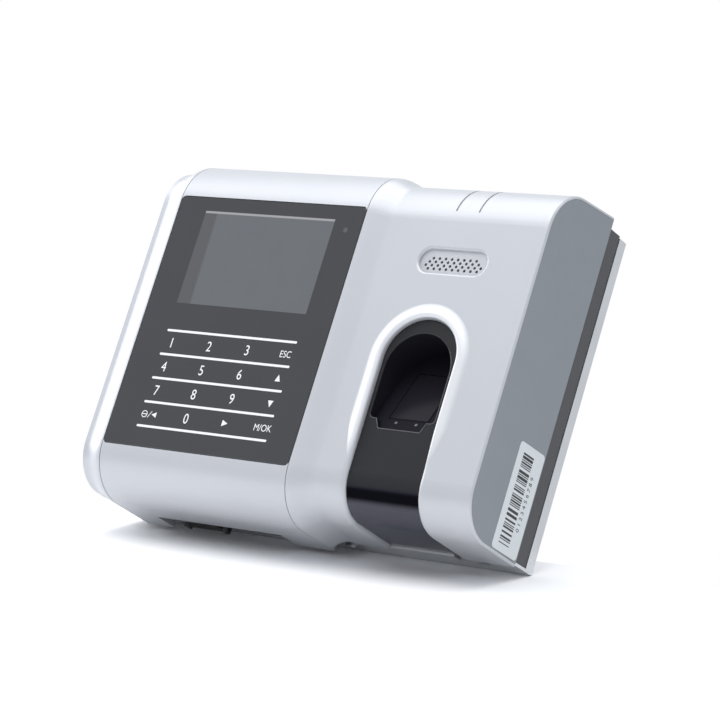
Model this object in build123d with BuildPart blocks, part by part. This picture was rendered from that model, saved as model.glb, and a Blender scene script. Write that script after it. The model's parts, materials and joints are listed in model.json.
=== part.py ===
"""Wall-mounted time clock with a display, a touch keypad and a fingerprint reader.

Millimetres. X runs to the right as seen from the front, +Z is up and +Y points into the wall.
The origin is the centre of the four wall screws, on the back face of the wall bracket.
"""
from build123d import *
from math import atan2, cos, degrees, radians, sin
import os

os.makedirs("parts", exist_ok=True)

# ---------------------------------------------------------------- overall sizes
rail_width = 12.6          # left rail, side face to seam
panel_width = 92.6         # between the two seams
panel_height = 105.6
right_width = 82.1         # right half, seam to side face
shell_depth = 41.5         # front plane of the display half to the back edge of the shells
tray_depth = 7.5           # dark rear tray, behind the shells
bracket_depth = 6.0        # sheet-metal wall bracket
hang_gap = 0.3             # tray to bracket

strip_top = 74.5           # display half at its back edge
strip_bottom = -72.2
strip_top_round = 21.4
strip_bottom_round = 20.0
right_step = 2.4           # the right half stands this far behind the display half
right_top_drop = 3.0
right_bottom_rise = 4.1
right_top_round = 19.2
right_bottom_round = 17.0
top_slope = 0.1            # the top rises towards the wall
bottom_slope = 0.02

wall = 2.5                 # silver shells
seam = 0.3                 # gap at each seam
flank_width = 11.0         # soft ridge beside the right seam
rail_flank_width = 9.5
rail_drop = 3.2            # how far the left rail falls away from the seam
edge_break = 0.5

# ---------------------------------------------------------------- planes that follow
side_left = -(rail_width + panel_width + right_width) / 2
seam_left = side_left + rail_width
seam_right = seam_left + panel_width
side_right = -side_left
tray_back = -(bracket_depth + hang_gap)
shell_back = tray_back - tray_depth
face = shell_back - shell_depth
right_face = face + right_step
panel_top = panel_height / 2
strip_middle = (seam_left + seam_right) / 2

# ---------------------------------------------------------------- side caps
cap_thickness = 2.5
cap_rim = 1.0              # silver rim left round the cap
cap_clearance = 0.1
rail_break = 1.0           # edge of the left rail
label_margin = 0.6
label_width = 17.6
label_height = 41.0
label_corner = 1.5
label_thickness = 0.15
label_z = -45.7

# ---------------------------------------------------------------- glass panel and what is behind it
glass_thickness = 1.5
glass_clearance = 0.15
glass_corner = 2.0
glass_gasket = 0.3
bezel_floor = 2.0
window_width = 64.5
window_height = 39.4
window_right_margin = 13.54
window_top_margin = 6.0
display_border = 3.4
display_thickness = 3.6
display_clearance = 0.3
clip_frame_thickness = 0.8
clip_frame_border = 1.2
key_area_width = 72.0
key_area_height = 46.0
key_area_bottom = 6.0      # above the glass's lower edge
key_board_thickness = 1.6
light_x = 7.25             # status light, from the right seam
light_drop = 10.1          # below the glass's top edge
light_radius = 1.25
light_clearance = 0.2
light_length = 6.0
glass_chamfer = 0.3
behind_glass = 0.1

# ---------------------------------------------------------------- finger well
well_x = 41.75             # from the right seam
well_radius = 16.4
well_arch_z = -5.4
well_recess = 1.4          # insert face below the silver face
well_lip = 2.2             # rounded silver lip round the arch
well_gap = 0.15
well_wall = 2.0
cavity_rim = 1.35           # insert left between the cavity and its own edge
cavity_arch_z = -9.3
cavity_shoulder = -29.2     # the cavity narrows below this height
cavity_foot_step = 3.5       # how much narrower the foot is than the arch, on each side
cavity_foot_slant = 1.4
cavity_foot_round = 1.0
cavity_shoulder_round = 2.0
cavity_bottom = -33.0
cavity_low_depth = 3.0
cavity_high_depth = 21.0
prism_width = 18.0
prism_length = 24.0
prism_thickness = 4.0
prism_clearance = 0.2
sensor_block_depth = 12.0
sensor_board_thickness = 1.6
sensor_block_margin = 3.0
prism_proud = 0.2
prism_rise = 18.0          # middle of the prism, up the slope from its lower edge
finger_light_radius = 0.6  # two lights that sense a finger, below the prism
finger_light_spacing = 9.1
finger_light_rise = 4.2
finger_light_length = 3.4
finger_light_proud = 0.1
finger_light_clearance = 0.05
prism_chamfer = 0.4
well_rim = 2.5
well_rim_low = -44.0

# ---------------------------------------------------------------- speaker and top grooves
grille_x = 44.15           # from the right seam
grille_z = 34.1
grille_width = 30.4
grille_height = 9.4
grille_recess = 1.4
grille_round = 1.1
grille_pitch = 2.78
grille_row_pitch = 1.40
grille_hole = 0.6
grille_holes_low = 0.8      # the holes sit below the middle of the recess
grille_rows = (8, 9, 10, 9)
speaker_radius = 15.0
speaker_depth = 5.5
speaker_gasket = 1.0
speaker_gasket_width = 1.5
speaker_rim = 1.2
speaker_magnet = 4.0
speaker_magnet_radius = 9.0
cloth_thickness = 0.3
groove_spacing = 10.4
groove_x = 44.2
groove_width = 0.9
groove_depth = 0.45
groove_low = 54.5
groove_back = 26.0          # behind the right half's front plane

# ---------------------------------------------------------------- rear tray
tray_wall = 2.2
tray_inset = 0.45          # tray sides inside the overall width
tray_top = 67.0
tray_bottom = -65.9
flange_thickness = 2.0
flange_clearance = 0.3
post_radius = 3.5
column_radius = 4.3
post_end_gap = 0.1
screw_clearance_radius = 1.7
screw_pilot_radius = 1.5
screw_shank_radius = 1.45
screw_head_radius = 2.6
screw_head_height = 2.0
screw_length = 12.0
screw_seat_thickness = 3.0
counterbore_radius = 3.0
rail_screw_inset = 7.2      # screws that hold the shells, from the sides and seams
rail_screw_z = 40.0
strip_screw_left = 9.0
strip_screw_right = 9.5
strip_screw_z = 57.0
right_screw_left = 14.5
right_screw_right = 8.0
right_screw_z = 54.0

# ---------------------------------------------------------------- circuit board
board_thickness = 1.6
board_front = shell_back - 10.2
board_left = seam_left + 15.0
board_right = seam_right - 15.5
board_low = -62.0
board_high = 52.0
standoff_radius = 3.0
board_screw_radius = 1.2
board_screw_head = 2.3
board_screw_length = 7.0
board_screw_inset = 4.0
board_screw_low = 12.0
board_screw_high = 5.0
shank_clearance = 0.05
relay_x = -54.0
relay_z = -30.0
relay_width = 15.5
relay_tall = 19.0
relay_height = 15.0
relay_round = 0.8
battery_x = -19.0
battery_z = -30.0
battery_radius = 10.0
battery_height = 3.2
battery_rim = 1.4
buzzer_x = -14.0
buzzer_z = 30.0
buzzer_radius = 6.0
buzzer_height = 8.5
buzzer_hole = 1.2
capacitor_points = [(-60.0, 2.0), (-60.0, 14.0), (-60.0, 26.0)]
capacitor_radius = 4.0
capacitor_height = 10.0
chips = [(-34.0, 24.0, 20.0, 20.0, 1.8), (-34.0, 3.0, 12.0, 14.0, 1.2), (-12.0, 8.0, 8.0, 10.0, 1.2)]
display_socket_z = -12.0
sensor_socket_x = -9.0
sensor_socket_z = -12.0
connector_height = 2.2
ribbon_sockets = [(-34.24, -14.0, 22.0, 5.0), (-9.0, -12.0, 4.0, 14.0)]
ribbon_width = 20.0
ribbon_thickness = 0.3
ribbon_gap = 0.3
ribbon_bend = 2.5
ribbon_lift = 4.0
ribbon_run = 11.0
ribbon_height = 8.0

# ---------------------------------------------------------------- ports on the underside
port_left = -68.0
port_right = -6.0
port_clearance = 1.0       # round the socket's cover
port_wall = 2.0
port_inset = 0.5           # port wall above the shell's inner face
port_lap = 1.5
usb_x = -50.0
usb_width = 13.2
usb_height = 5.8
usb_length = 14.0
usb_wall = 0.5
usb_clearance = 0.3
flap_lap = 1.8
flap_thickness = 1.5
flap_gap = 0.2
flap_pin_radius = 0.8
flap_pin_clearance = 0.06
flap_ear = 2.0
flap_side_gap = 0.3
flap_ear_radius = 1.5
flap_knuckle = 1.1
flap_pin_set_back = 1.0     # pin behind the socket
flap_grip_depth = 2.0
flap_grip = 0.6
usb_tongue = 1.6
usb_tongue_offset = 0.9
reset_x = -16.0
reset_radius = 1.5
reset_clearance = 0.06
reset_travel = 0.6
reset_proud = 0.3
reset_gap = 0.1
reset_flange = 2.5
reset_flange_thickness = 1.2
reset_switch_width = 6.0
reset_switch_length = 4.0
reset_depth = 1.75         # behind the main board

# ---------------------------------------------------------------- sockets at the back
lan_x = -46.0
lan_z = 12.0
lan_width = 16.2
lan_height = 14.6
lan_mouth_width = 12.0
lan_mouth_height = 8.2
lan_mouth_depth = 11.0
lan_latch_width = 4.0
lan_latch_height = 2.4
wire_hole = 2.4
block_pitch = 3.81
block_height = 9.2
block_depth = 13.2
lock_block_poles = 8
lock_block_z = -12.0
power_block_poles = 4
power_block_x = -22.0
power_block_z = 12.0
lock_block_x = -32.0
window_clearance = 0.6

# ---------------------------------------------------------------- tamper plunger
tamper_x = -22.0
tamper_z = -40.0
tamper_radius = 3.0
tamper_flange = 4.5
tamper_clearance = 0.06
tamper_travel = 1.5
tamper_switch_height = 4.0
tamper_switch_size = 6.0
tamper_flange_thickness = 1.4
tamper_gap = 0.1
tamper_rod_gap = 0.3

# ---------------------------------------------------------------- wall bracket
sheet = 1.5
lip_sheet = 1.2
bracket_inset = 0.25
bracket_top = 66.2
bracket_bend = 1.6
ledge_gap = 0.3            # under the tray
ledge_front_gap = 0.3      # behind the shells
ledge_notch_left = 66.0
ledge_notch_right = 80.0
ledge_notch_depth = 5.0
wall_screw_x = 70.0
wall_screw_z = 48.0
wall_screw_radius = 2.25
cable_left = -62.0
cable_right = -2.0
cable_low = -28.0
cable_high = 28.0
hook_x = 47.0
hook_high_z = 38.0
hook_low_z = -46.0
hook_width = 8.0
hook_thickness = 1.5
hook_lip = 6.0
hook_gap = 0.5
hook_side_gap = 0.6
lift_travel = 7.0
lock_x = 17.0
lock_radius = 1.5
lock_clearance = 0.3
lock_length = 6.0
lock_head_radius = 2.6
lock_head_height = 1.8
lock_notch_radius = 4.6
lock_set_back = 0.6        # behind the middle of the tray's side
recess_width = 0.6         # cross recess in every screw head
slot_top_gap = 0.1

# ---------------------------------------------------------------- values worked out from the above
window_middle_x = seam_right - window_right_margin - window_width / 2
window_middle_z = panel_top - window_top_margin - window_height / 2
key_area_z = -panel_top + key_area_bottom + key_area_height / 2
floor_front = face + glass_thickness + glass_gasket
floor_back = floor_front + bezel_floor
display_width = window_width + 2 * display_border
display_height = window_height + 2 * display_border
light_z = panel_top - light_drop
light_row_x = seam_right - light_x
well_row_x = seam_right + well_x
cavity_radius = well_radius - well_gap - cavity_rim
cavity_wall = cavity_rim - well_gap
grille_row_x = seam_right + grille_x
groove_row_x = seam_right + groove_x
right_inside = right_face + wall
tray_inner_back = tray_back - tray_wall
flange_front = shell_back - flange_thickness
board_back = board_front + board_thickness
ledge_top = tray_bottom - ledge_gap
ledge_bottom = ledge_top - lip_sheet
ledge_front = shell_back + ledge_front_gap
lock_y = (shell_back + tray_inner_back) / 2 + lock_set_back
port_top = strip_bottom + wall + port_inset + port_wall
port_bottom = port_top - port_wall
usb_mouth = port_bottom + usb_clearance
usb_y = board_back + usb_height / 2
port_front = usb_y - usb_height / 2 - flap_lap - port_clearance
flap_half = usb_width / 2 + flap_lap
flap_pin_y = usb_y + usb_height / 2 + flap_pin_set_back
flap_pin_z = port_bottom - flap_gap - flap_knuckle
reset_y = board_back + reset_depth
lock_block_width = lock_block_poles * block_pitch + 1
power_block_width = power_block_poles * block_pitch + 1
slot_height = hook_thickness + slot_top_gap + lift_travel + hook_gap
tray_inner_back_gap = -tray_inner_back + tamper_gap
tamper_rod = (
    -board_back - tamper_switch_height - tamper_travel - tamper_rod_gap
    - tray_inner_back_gap - tamper_flange_thickness
)

rail_screws = [(side_left + rail_screw_inset, z) for z in (-rail_screw_z, rail_screw_z)]
strip_screws = [
    (x, z)
    for x in (seam_left + strip_screw_left, seam_right - strip_screw_right)
    for z in (-strip_screw_z, strip_screw_z)
]
right_screws = [
    (x, z)
    for x in (seam_right + right_screw_left, side_right - right_screw_right)
    for z in (-right_screw_z, right_screw_z)
]
all_screws = rail_screws + strip_screws + right_screws
board_screw_points = [
    (x, z)
    for x in (board_left + board_screw_inset, board_right - board_screw_inset)
    for z in (board_low + board_screw_low, board_high - board_screw_high)
]
hook_points = [(x, z) for x in (-hook_x, hook_x) for z in (hook_low_z, hook_high_z)]

# slope of the finger well's floor, and the middle of the prism on it
slope_start = Vector(0, right_face + cavity_low_depth, cavity_bottom)
slope_end = Vector(0, right_face + cavity_high_depth, cavity_arch_z + cavity_radius)
slope_angle = degrees(atan2(cavity_high_depth - cavity_low_depth, slope_end.Z - slope_start.Z))
slope_normal = Vector(0, -cos(radians(slope_angle)), sin(radians(slope_angle)))
slope_up = (slope_end - slope_start).normalized()
slope_middle = slope_start + slope_up * prism_rise + Vector(well_row_x, 0, 0)
slope_plane = Plane(origin=slope_middle, x_dir=(1, 0, 0), z_dir=slope_normal)
finger_light_points = [
    (side * finger_light_spacing / 2, finger_light_rise - prism_rise) for side in (-1, 1)
]


def save(part, name):
    """Label a finished piece and write it."""
    part.label = name
    export_step(part, f"parts/{name}.step")


def front_plane(y):
    """Plane facing the viewer at depth y, with its own x along +X and y along +Z."""
    return Plane(origin=(0, y, 0), x_dir=(1, 0, 0), z_dir=(0, -1, 0))


def side_outline(front, top, bottom, top_round, bottom_round, inset=0.0, back=shell_back):
    """Side view of a shell: flat front, large rounds above and below, open towards the wall."""
    top_front = top - top_slope * (shell_back - front)
    bottom_front = bottom + bottom_slope * (shell_back - front)
    top_back = top + top_slope * (back - shell_back)
    with BuildSketch() as outline:
        with BuildLine():
            Polyline(
                (front + inset, bottom_front + inset),
                (back, bottom + inset),
                (back, top_back - inset),
                (front + inset, top_front - inset),
                close=True,
            )
        make_face()
        fillet(outline.vertices().group_by(Axis.X)[0].sort_by(Axis.Y)[0], bottom_round - inset)
        fillet(outline.vertices().group_by(Axis.X)[0].sort_by(Axis.Y)[-1], top_round - inset)
    return outline.sketch


def strip_outline(inset=0.0, back=shell_back):
    return side_outline(face, strip_top, strip_bottom, strip_top_round, strip_bottom_round, inset, back)


def right_outline(inset=0.0, back=shell_back):
    return side_outline(
        right_face,
        strip_top - right_top_drop,
        strip_bottom + right_bottom_rise,
        right_top_round,
        right_bottom_round,
        inset,
        back,
    )


def rail_outline(inset=0.0, back=shell_back):
    return side_outline(
        face + rail_drop,
        strip_top - rail_drop,
        strip_bottom + rail_drop,
        strip_top_round - rail_drop,
        strip_bottom_round - rail_drop,
        inset,
        back,
    )


def blend_outline(share, drop_front, drop_top, drop_bottom, round_top, round_bottom):
    """Outline part of the way between the strip's and a lower one."""
    return side_outline(
        face + share * drop_front,
        strip_top - share * drop_top,
        strip_bottom + share * drop_bottom,
        strip_top_round + share * (round_top - strip_top_round),
        strip_bottom_round + share * (round_bottom - strip_bottom_round),
    )


def at_x(outline, x):
    """Stand a side outline up at x, its own x along +Y and its own y along +Z."""
    return Plane.YZ.offset(x) * outline


def arch(radius, arch_z, low, x):
    """Arch shape in the front view: a half circle on straight sides that run down to low."""
    with BuildSketch() as shape:
        with Locations((x, arch_z)):
            Circle(radius)
        with Locations((x, (arch_z + low) / 2)):
            Rectangle(2 * radius, arch_z - low)
    return shape.sketch


def on_front(shape, y):
    return front_plane(y) * shape


ease = [0.0, 0.1, 0.3, 0.5, 0.7, 0.9, 1.0]


def eased(share):
    return share * share * (3 - 2 * share)


# ================================================================ silver front shells
with BuildPart() as right_shell:
    ridge = [
        at_x(
            blend_outline(eased(s), right_step, right_top_drop, right_bottom_rise, right_top_round,
                          right_bottom_round),
            seam_right + seam / 2 + s * flank_width,
        )
        for s in ease
    ]
    loft(sections=ridge)
    flat_start = seam_right + seam / 2 + flank_width
    extrude(at_x(right_outline(), flat_start), amount=side_right - flat_start, dir=(1, 0, 0))
    end_edges = right_shell.faces().sort_by(Axis.X)[-1].edges()
    chamfer(end_edges.sort_by(Axis.Y)[:-1], edge_break)
    extrude(
        at_x(right_outline(wall, back=shell_back + 1), seam_right - 1),
        amount=right_width + 2,
        dir=(1, 0, 0),
        mode=Mode.SUBTRACT,
    )
    extrude(
        at_x(right_outline(cap_rim, back=shell_back + 1), side_right - cap_thickness),
        amount=cap_thickness + 1,
        dir=(1, 0, 0),
        mode=Mode.SUBTRACT,
    )
    # screw posts
    with BuildSketch(front_plane(right_inside)):
        with Locations(*right_screws):
            Circle(post_radius)
    extrude(amount=-(flange_front - post_end_gap - right_inside))
    with BuildSketch(front_plane(flange_front - post_end_gap)):
        with Locations(*right_screws):
            Circle(screw_pilot_radius)
    extrude(amount=screw_length, mode=Mode.SUBTRACT)
    # finger well slot, open along the underside, with its rounded lip
    extrude(
        on_front(arch(well_radius, well_arch_z, strip_bottom - 5, well_row_x), right_face - 1),
        amount=-(shell_depth + 3),
        mode=Mode.SUBTRACT,
    )
    skin = at_x(right_outline(), 0).wire()
    rim_edges = right_shell.edges().filter_by(
        lambda edge: abs((edge @ 0.5).X - well_row_x) < well_radius + 0.1
        and skin.distance_to(Vertex(0, (edge @ 0.5).Y, (edge @ 0.5).Z)) < 0.01
        and (edge @ 0.5).Y < shell_back - 0.01
        and (edge @ 0.5).Z < well_arch_z + well_radius + 0.1
    )
    fillet(rim_edges, well_lip)
    # speaker grille: stadium recess with staggered rows of holes
    with BuildSketch(front_plane(right_face)):
        with Locations((grille_row_x, grille_z)):
            SlotOverall(grille_width, grille_height)
    extrude(amount=-grille_recess, mode=Mode.SUBTRACT)
    recess_rim = right_shell.edges().filter_by(
        lambda edge: abs((edge @ 0.5).Y - right_face) < 0.01
        and abs((edge @ 0.5).X - grille_row_x) < grille_width / 2 + 0.1
        and abs((edge @ 0.5).Z - grille_z) < grille_height / 2 + 0.1
    )
    fillet(recess_rim, grille_round)
    with BuildSketch(front_plane(right_face)):
        for row, count in enumerate(grille_rows):
            row_z = grille_z - grille_holes_low + grille_row_pitch * ((len(grille_rows) - 1) / 2 - row)
            with Locations((grille_row_x, row_z)):
                with GridLocations(grille_pitch, 1, count, 1):
                    Circle(grille_hole)
    extrude(amount=-(wall + 1), mode=Mode.SUBTRACT)
    # half-round notch for the screwdriver that turns the locking screw
    with BuildSketch(Plane.XY.offset(strip_bottom - 1)):
        with Locations((lock_x, shell_back)):
            Circle(lock_notch_radius)
    extrude(amount=wall + right_bottom_rise + 2, mode=Mode.SUBTRACT)
    # two grooves that run up the front and over the top
    for groove_middle in (groove_row_x - groove_spacing / 2, groove_row_x + groove_spacing / 2):
        with BuildSketch(Plane.YZ.offset(groove_middle - groove_width / 2)):
            add(right_outline(-1))
            add(right_outline(groove_depth), mode=Mode.SUBTRACT)
            with Locations((right_face + groove_back / 2, groove_low + groove_back / 2)):
                Rectangle(groove_back + 4, groove_back, mode=Mode.INTERSECT)
        extrude(amount=groove_width, mode=Mode.SUBTRACT)
save(right_shell.part, "right_shell")

with BuildPart() as left_rail:
    rail_ridge = [
        at_x(
            blend_outline(eased(s), rail_drop, rail_drop, rail_drop, strip_top_round - rail_drop,
                          strip_bottom_round - rail_drop),
            seam_left - seam / 2 - s * rail_flank_width,
        )
        for s in ease
    ]
    loft(sections=rail_ridge)
    rail_flat = seam_left - seam / 2 - rail_flank_width
    extrude(at_x(rail_outline(), rail_flat), amount=rail_flat - side_left, dir=(-1, 0, 0))
    end_edges = left_rail.faces().sort_by(Axis.X)[0].edges()
    chamfer(end_edges.sort_by(Axis.Y)[:-1], rail_break)
    extrude(
        at_x(rail_outline(wall, back=shell_back + 1), side_left - 1),
        amount=rail_width + 2,
        dir=(1, 0, 0),
        mode=Mode.SUBTRACT,
    )
    extrude(
        at_x(rail_outline(rail_break + cap_rim, back=shell_back + 1), side_left - 1),
        amount=cap_thickness + 1,
        dir=(1, 0, 0),
        mode=Mode.SUBTRACT,
    )
    with BuildSketch(front_plane(face + rail_drop + wall)):
        with Locations(*rail_screws):
            Circle(post_radius)
    extrude(amount=-(flange_front - post_end_gap - face - rail_drop - wall))
    with BuildSketch(front_plane(flange_front - post_end_gap)):
        with Locations(*rail_screws):
            Circle(screw_pilot_radius)
    extrude(amount=screw_length, mode=Mode.SUBTRACT)
save(left_rail.part, "left_rail")

with BuildPart() as centre_bezel:
    strip_width = panel_width - seam
    extrude(at_x(strip_outline(), seam_left + seam / 2), amount=strip_width, dir=(1, 0, 0))
    extrude(
        at_x(strip_outline(wall, back=shell_back + 1), seam_left),
        amount=panel_width,
        dir=(1, 0, 0),
        mode=Mode.SUBTRACT,
    )
    with BuildSketch(front_plane(floor_front)):
        with Locations((strip_middle, 0)):
            Rectangle(strip_width, panel_height + 2 * bezel_floor)
    extrude(amount=-bezel_floor)
    # recess for the glass
    with BuildSketch(front_plane(face - 1)):
        with Locations((strip_middle, 0)):
            RectangleRounded(strip_width + glass_clearance, panel_height + glass_clearance, glass_corner)
    extrude(amount=-(1 + floor_front - face), mode=Mode.SUBTRACT)
    # openings for the display, the key board and the status light
    with BuildSketch(front_plane(face - 1)):
        with Locations((window_middle_x, window_middle_z)):
            Rectangle(display_width + 2 * display_clearance, display_height + 2 * display_clearance)
        with Locations((strip_middle, key_area_z)):
            Rectangle(key_area_width, key_area_height)
        with Locations((light_row_x, light_z)):
            Circle(light_radius + light_clearance)
    extrude(amount=-(2 + floor_back - face), mode=Mode.SUBTRACT)
    # screw posts
    with BuildSketch(front_plane(floor_back - bezel_floor / 2)):
        with Locations(*strip_screws):
            Circle(post_radius)
    extrude(amount=-(flange_front - post_end_gap - floor_back + bezel_floor / 2))
    with BuildSketch(front_plane(flange_front - post_end_gap)):
        with Locations(*strip_screws):
            Circle(screw_pilot_radius)
    extrude(amount=screw_length, mode=Mode.SUBTRACT)
    # cut-out for the ports at the back edge of the underside
    with BuildSketch(Plane.XY.offset(strip_bottom - 1)):
        with Locations(((port_left + port_right) / 2, (port_front + shell_back + 1) / 2)):
            Rectangle(port_right - port_left, shell_back + 1 - port_front)
    extrude(amount=wall + 2, mode=Mode.SUBTRACT)
save(centre_bezel.part, "centre_bezel")

# ================================================================ side caps and label
with BuildPart() as right_cap:
    extrude(
        at_x(right_outline(cap_rim + cap_clearance), side_right - cap_thickness + cap_clearance),
        amount=cap_thickness - cap_clearance,
        dir=(1, 0, 0),
    )
save(right_cap.part, "right_side_cap")

with BuildPart() as left_cap:
    extrude(
        at_x(rail_outline(rail_break + cap_rim + cap_clearance), side_left),
        amount=cap_thickness - cap_clearance,
        dir=(1, 0, 0),
    )
save(left_cap.part, "left_side_cap")

with BuildPart() as side_label:
    with BuildSketch(Plane.YZ.offset(side_right)):
        with Locations((shell_back - label_margin - label_width / 2, label_z)):
            RectangleRounded(label_width, label_height, label_corner)
    extrude(amount=label_thickness)
save(side_label.part, "side_label")

# ================================================================ glass panel, display and key board
with BuildPart() as touch_panel:
    with BuildSketch(front_plane(face)):
        with Locations((strip_middle, 0)):
            RectangleRounded(
                panel_width - seam - glass_clearance, panel_height - glass_clearance, glass_corner
            )
    extrude(amount=-glass_thickness)
    chamfer(touch_panel.faces().sort_by(Axis.Y)[0].edges(), glass_chamfer)
save(touch_panel.part, "touch_panel")

with BuildPart() as panel_gasket:
    with BuildSketch(front_plane(face + glass_thickness)):
        with Locations((strip_middle, 0)):
            RectangleRounded(strip_width - 2 * glass_corner, panel_height - 2 * glass_corner, glass_corner)
        with Locations((window_middle_x, window_middle_z)):
            Rectangle(
                display_width + 2 * display_clearance,
                display_height + 2 * display_clearance,
                mode=Mode.SUBTRACT,
            )
        with Locations((strip_middle, key_area_z)):
            Rectangle(key_area_width, key_area_height, mode=Mode.SUBTRACT)
        with Locations((light_row_x, light_z)):
            Circle(light_radius + light_clearance, mode=Mode.SUBTRACT)
    extrude(amount=-glass_gasket)
save(panel_gasket.part, "panel_gasket")

display_front = face + glass_thickness + behind_glass
with BuildPart() as display_module:
    with BuildSketch(front_plane(display_front)):
        with Locations((window_middle_x, window_middle_z)):
            Rectangle(display_width, display_height)
    extrude(amount=-display_thickness)
save(display_module.part, "display_module")

with BuildPart() as display_clip:
    clip_width = display_width + 2 * (display_clearance + clip_frame_border)
    clip_height = display_height + 2 * (display_clearance + clip_frame_border)
    display_back = display_front + display_thickness
    with BuildSketch(front_plane(floor_back)):
        with Locations((window_middle_x, window_middle_z)):
            Rectangle(clip_width, clip_height)
            Rectangle(
                display_width + 2 * display_clearance,
                display_height + 2 * display_clearance,
                mode=Mode.SUBTRACT,
            )
    extrude(amount=-(display_back - floor_back))
    with BuildSketch(front_plane(display_back)):
        with Locations((window_middle_x, window_middle_z)):
            Rectangle(clip_width, clip_height)
            Rectangle(
                display_width - 2 * clip_frame_border,
                display_height - 2 * clip_frame_border,
                mode=Mode.SUBTRACT,
            )
    extrude(amount=-clip_frame_thickness)
save(display_clip.part, "display_clip_frame")

with BuildPart() as key_board:
    with BuildSketch(front_plane(display_front)):
        with Locations((strip_middle, key_area_z)):
            Rectangle(key_area_width - 2 * display_clearance, key_area_height - 2 * display_clearance)
    extrude(amount=-key_board_thickness)
save(key_board.part, "touch_key_board")

with BuildPart() as status_light:
    with BuildSketch(front_plane(display_front)):
        with Locations((light_row_x, light_z)):
            Circle(light_radius)
    extrude(amount=-light_length)
    fillet(status_light.faces().sort_by(Axis.Y)[0].edges(), light_radius / 2)
save(status_light.part, "status_light_pipe")

# ================================================================ finger well and sensor
cavity_top = cavity_arch_z + cavity_radius


def well_wedge(grow):
    """Side view of the finger cavity, grown outwards by a wall."""
    slope_grow = grow / cos(radians(slope_angle))
    with BuildSketch() as wedge:
        with BuildLine():
            Polyline(
                (right_face - 5, cavity_bottom - grow),
                (slope_start.Y + slope_grow, cavity_bottom - grow),
                (slope_end.Y + slope_grow, cavity_top + grow),
                (right_face - 5, cavity_top + grow),
                close=True,
            )
        make_face()
    return wedge.sketch


def cavity_outline(grow):
    """Front view of the finger cavity: an arch with a narrower foot."""
    with BuildSketch() as outline:
        add(arch(cavity_radius + grow, cavity_arch_z, cavity_shoulder - grow, well_row_x))
        foot_top = cavity_radius - cavity_foot_step + grow
        foot_low = foot_top - cavity_foot_slant
        with Locations((well_row_x, 0)):
            Polygon(
                (-foot_top, cavity_shoulder),
                (-foot_low, cavity_bottom - grow),
                (foot_low, cavity_bottom - grow),
                (foot_top, cavity_shoulder),
                align=None,
            )
        fillet(outline.vertices().group_by(Axis.Y)[0], cavity_foot_round)
        shoulders = outline.vertices().filter_by(
            lambda corner: abs(abs(corner.X - well_row_x) - cavity_radius - grow) < 0.01
            and corner.Y < cavity_arch_z - 0.01
        )
        fillet(shoulders, cavity_shoulder_round)
    return outline.sketch


def cavity_solid(grow):
    """Finger cavity: arch in the front view, wedge in the side view."""
    with BuildPart() as tool:
        extrude(on_front(cavity_outline(grow), right_face - 4), amount=-shell_depth)
        extrude(
            at_x(well_wedge(grow), well_row_x - 2 * cavity_radius),
            amount=4 * cavity_radius,
            dir=(1, 0, 0),
            mode=Mode.INTERSECT,
        )
    return tool.part


def behind_well_face():
    """Everything behind the insert's outer skin."""
    with BuildPart() as tool:
        extrude(
            at_x(right_outline(well_recess), well_row_x - 2 * well_radius),
            amount=4 * well_radius,
            dir=(1, 0, 0),
        )
    return tool.part


cavity = cavity_solid(0)
cavity_outer = cavity_solid(cavity_wall)
well_body = behind_well_face()

with BuildPart() as finger_well:
    # curved front skin that wraps round the underside
    with BuildSketch(Plane.YZ.offset(well_row_x - well_radius + well_gap)):
        add(right_outline(well_recess))
        add(right_outline(well_recess + well_wall, back=shell_back + 1), mode=Mode.SUBTRACT)
    extrude(amount=2 * (well_radius - well_gap))
    extrude(
        on_front(
            arch(well_radius - well_gap, well_arch_z, strip_bottom - 5, well_row_x),
            right_face - 1,
        ),
        amount=-(shell_depth + 3),
        mode=Mode.INTERSECT,
    )
    # rim that bears on the back of the silver shell
    with BuildSketch(front_plane(right_inside + post_end_gap)):
        add(arch(well_radius + well_rim, well_arch_z, well_rim_low, well_row_x))
        add(arch(well_radius - well_gap - well_wall, well_arch_z, well_rim_low, well_row_x),
            mode=Mode.SUBTRACT)
    extrude(amount=-well_wall)
    with BuildSketch(front_plane(right_face + well_recess)):
        add(arch(well_radius - well_gap, well_arch_z, well_rim_low, well_row_x))
        add(arch(well_radius - well_gap - well_wall, well_arch_z, well_rim_low, well_row_x),
            mode=Mode.SUBTRACT)
    extrude(amount=-(right_inside + post_end_gap + well_wall - right_face - well_recess))
    add(cavity_outer & well_body)
    add(cavity, mode=Mode.SUBTRACT)
    with BuildSketch(slope_plane):
        Rectangle(prism_width + 2 * prism_clearance, prism_length + 2 * prism_clearance)
        with Locations(*finger_light_points):
            Circle(finger_light_radius + finger_light_clearance)
    extrude(amount=prism_thickness, both=True, mode=Mode.SUBTRACT)
save(finger_well.part, "finger_well")

with BuildPart() as finger_lights:
    with BuildSketch(slope_plane.offset(finger_light_proud)):
        with Locations(*finger_light_points):
            Circle(finger_light_radius)
    extrude(amount=-finger_light_length)
save(finger_lights.part, "finger_lights")

with BuildPart() as sensor_window:
    with BuildSketch(slope_plane.offset(prism_proud)):
        Rectangle(prism_width, prism_length)
    extrude(amount=-prism_thickness)
    chamfer(sensor_window.faces().sort_by(Axis(origin=(0, 0, 0), direction=slope_normal))[-1].edges(),
            prism_chamfer)
save(sensor_window.part, "sensor_window")

sensor_top = prism_proud - prism_thickness
with BuildPart() as sensor_block:
    with BuildSketch(slope_plane.offset(sensor_top)):
        Rectangle(prism_width + sensor_block_margin, prism_length + sensor_block_margin)
    extrude(amount=-sensor_block_depth)
save(sensor_block.part, "sensor_block")

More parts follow.
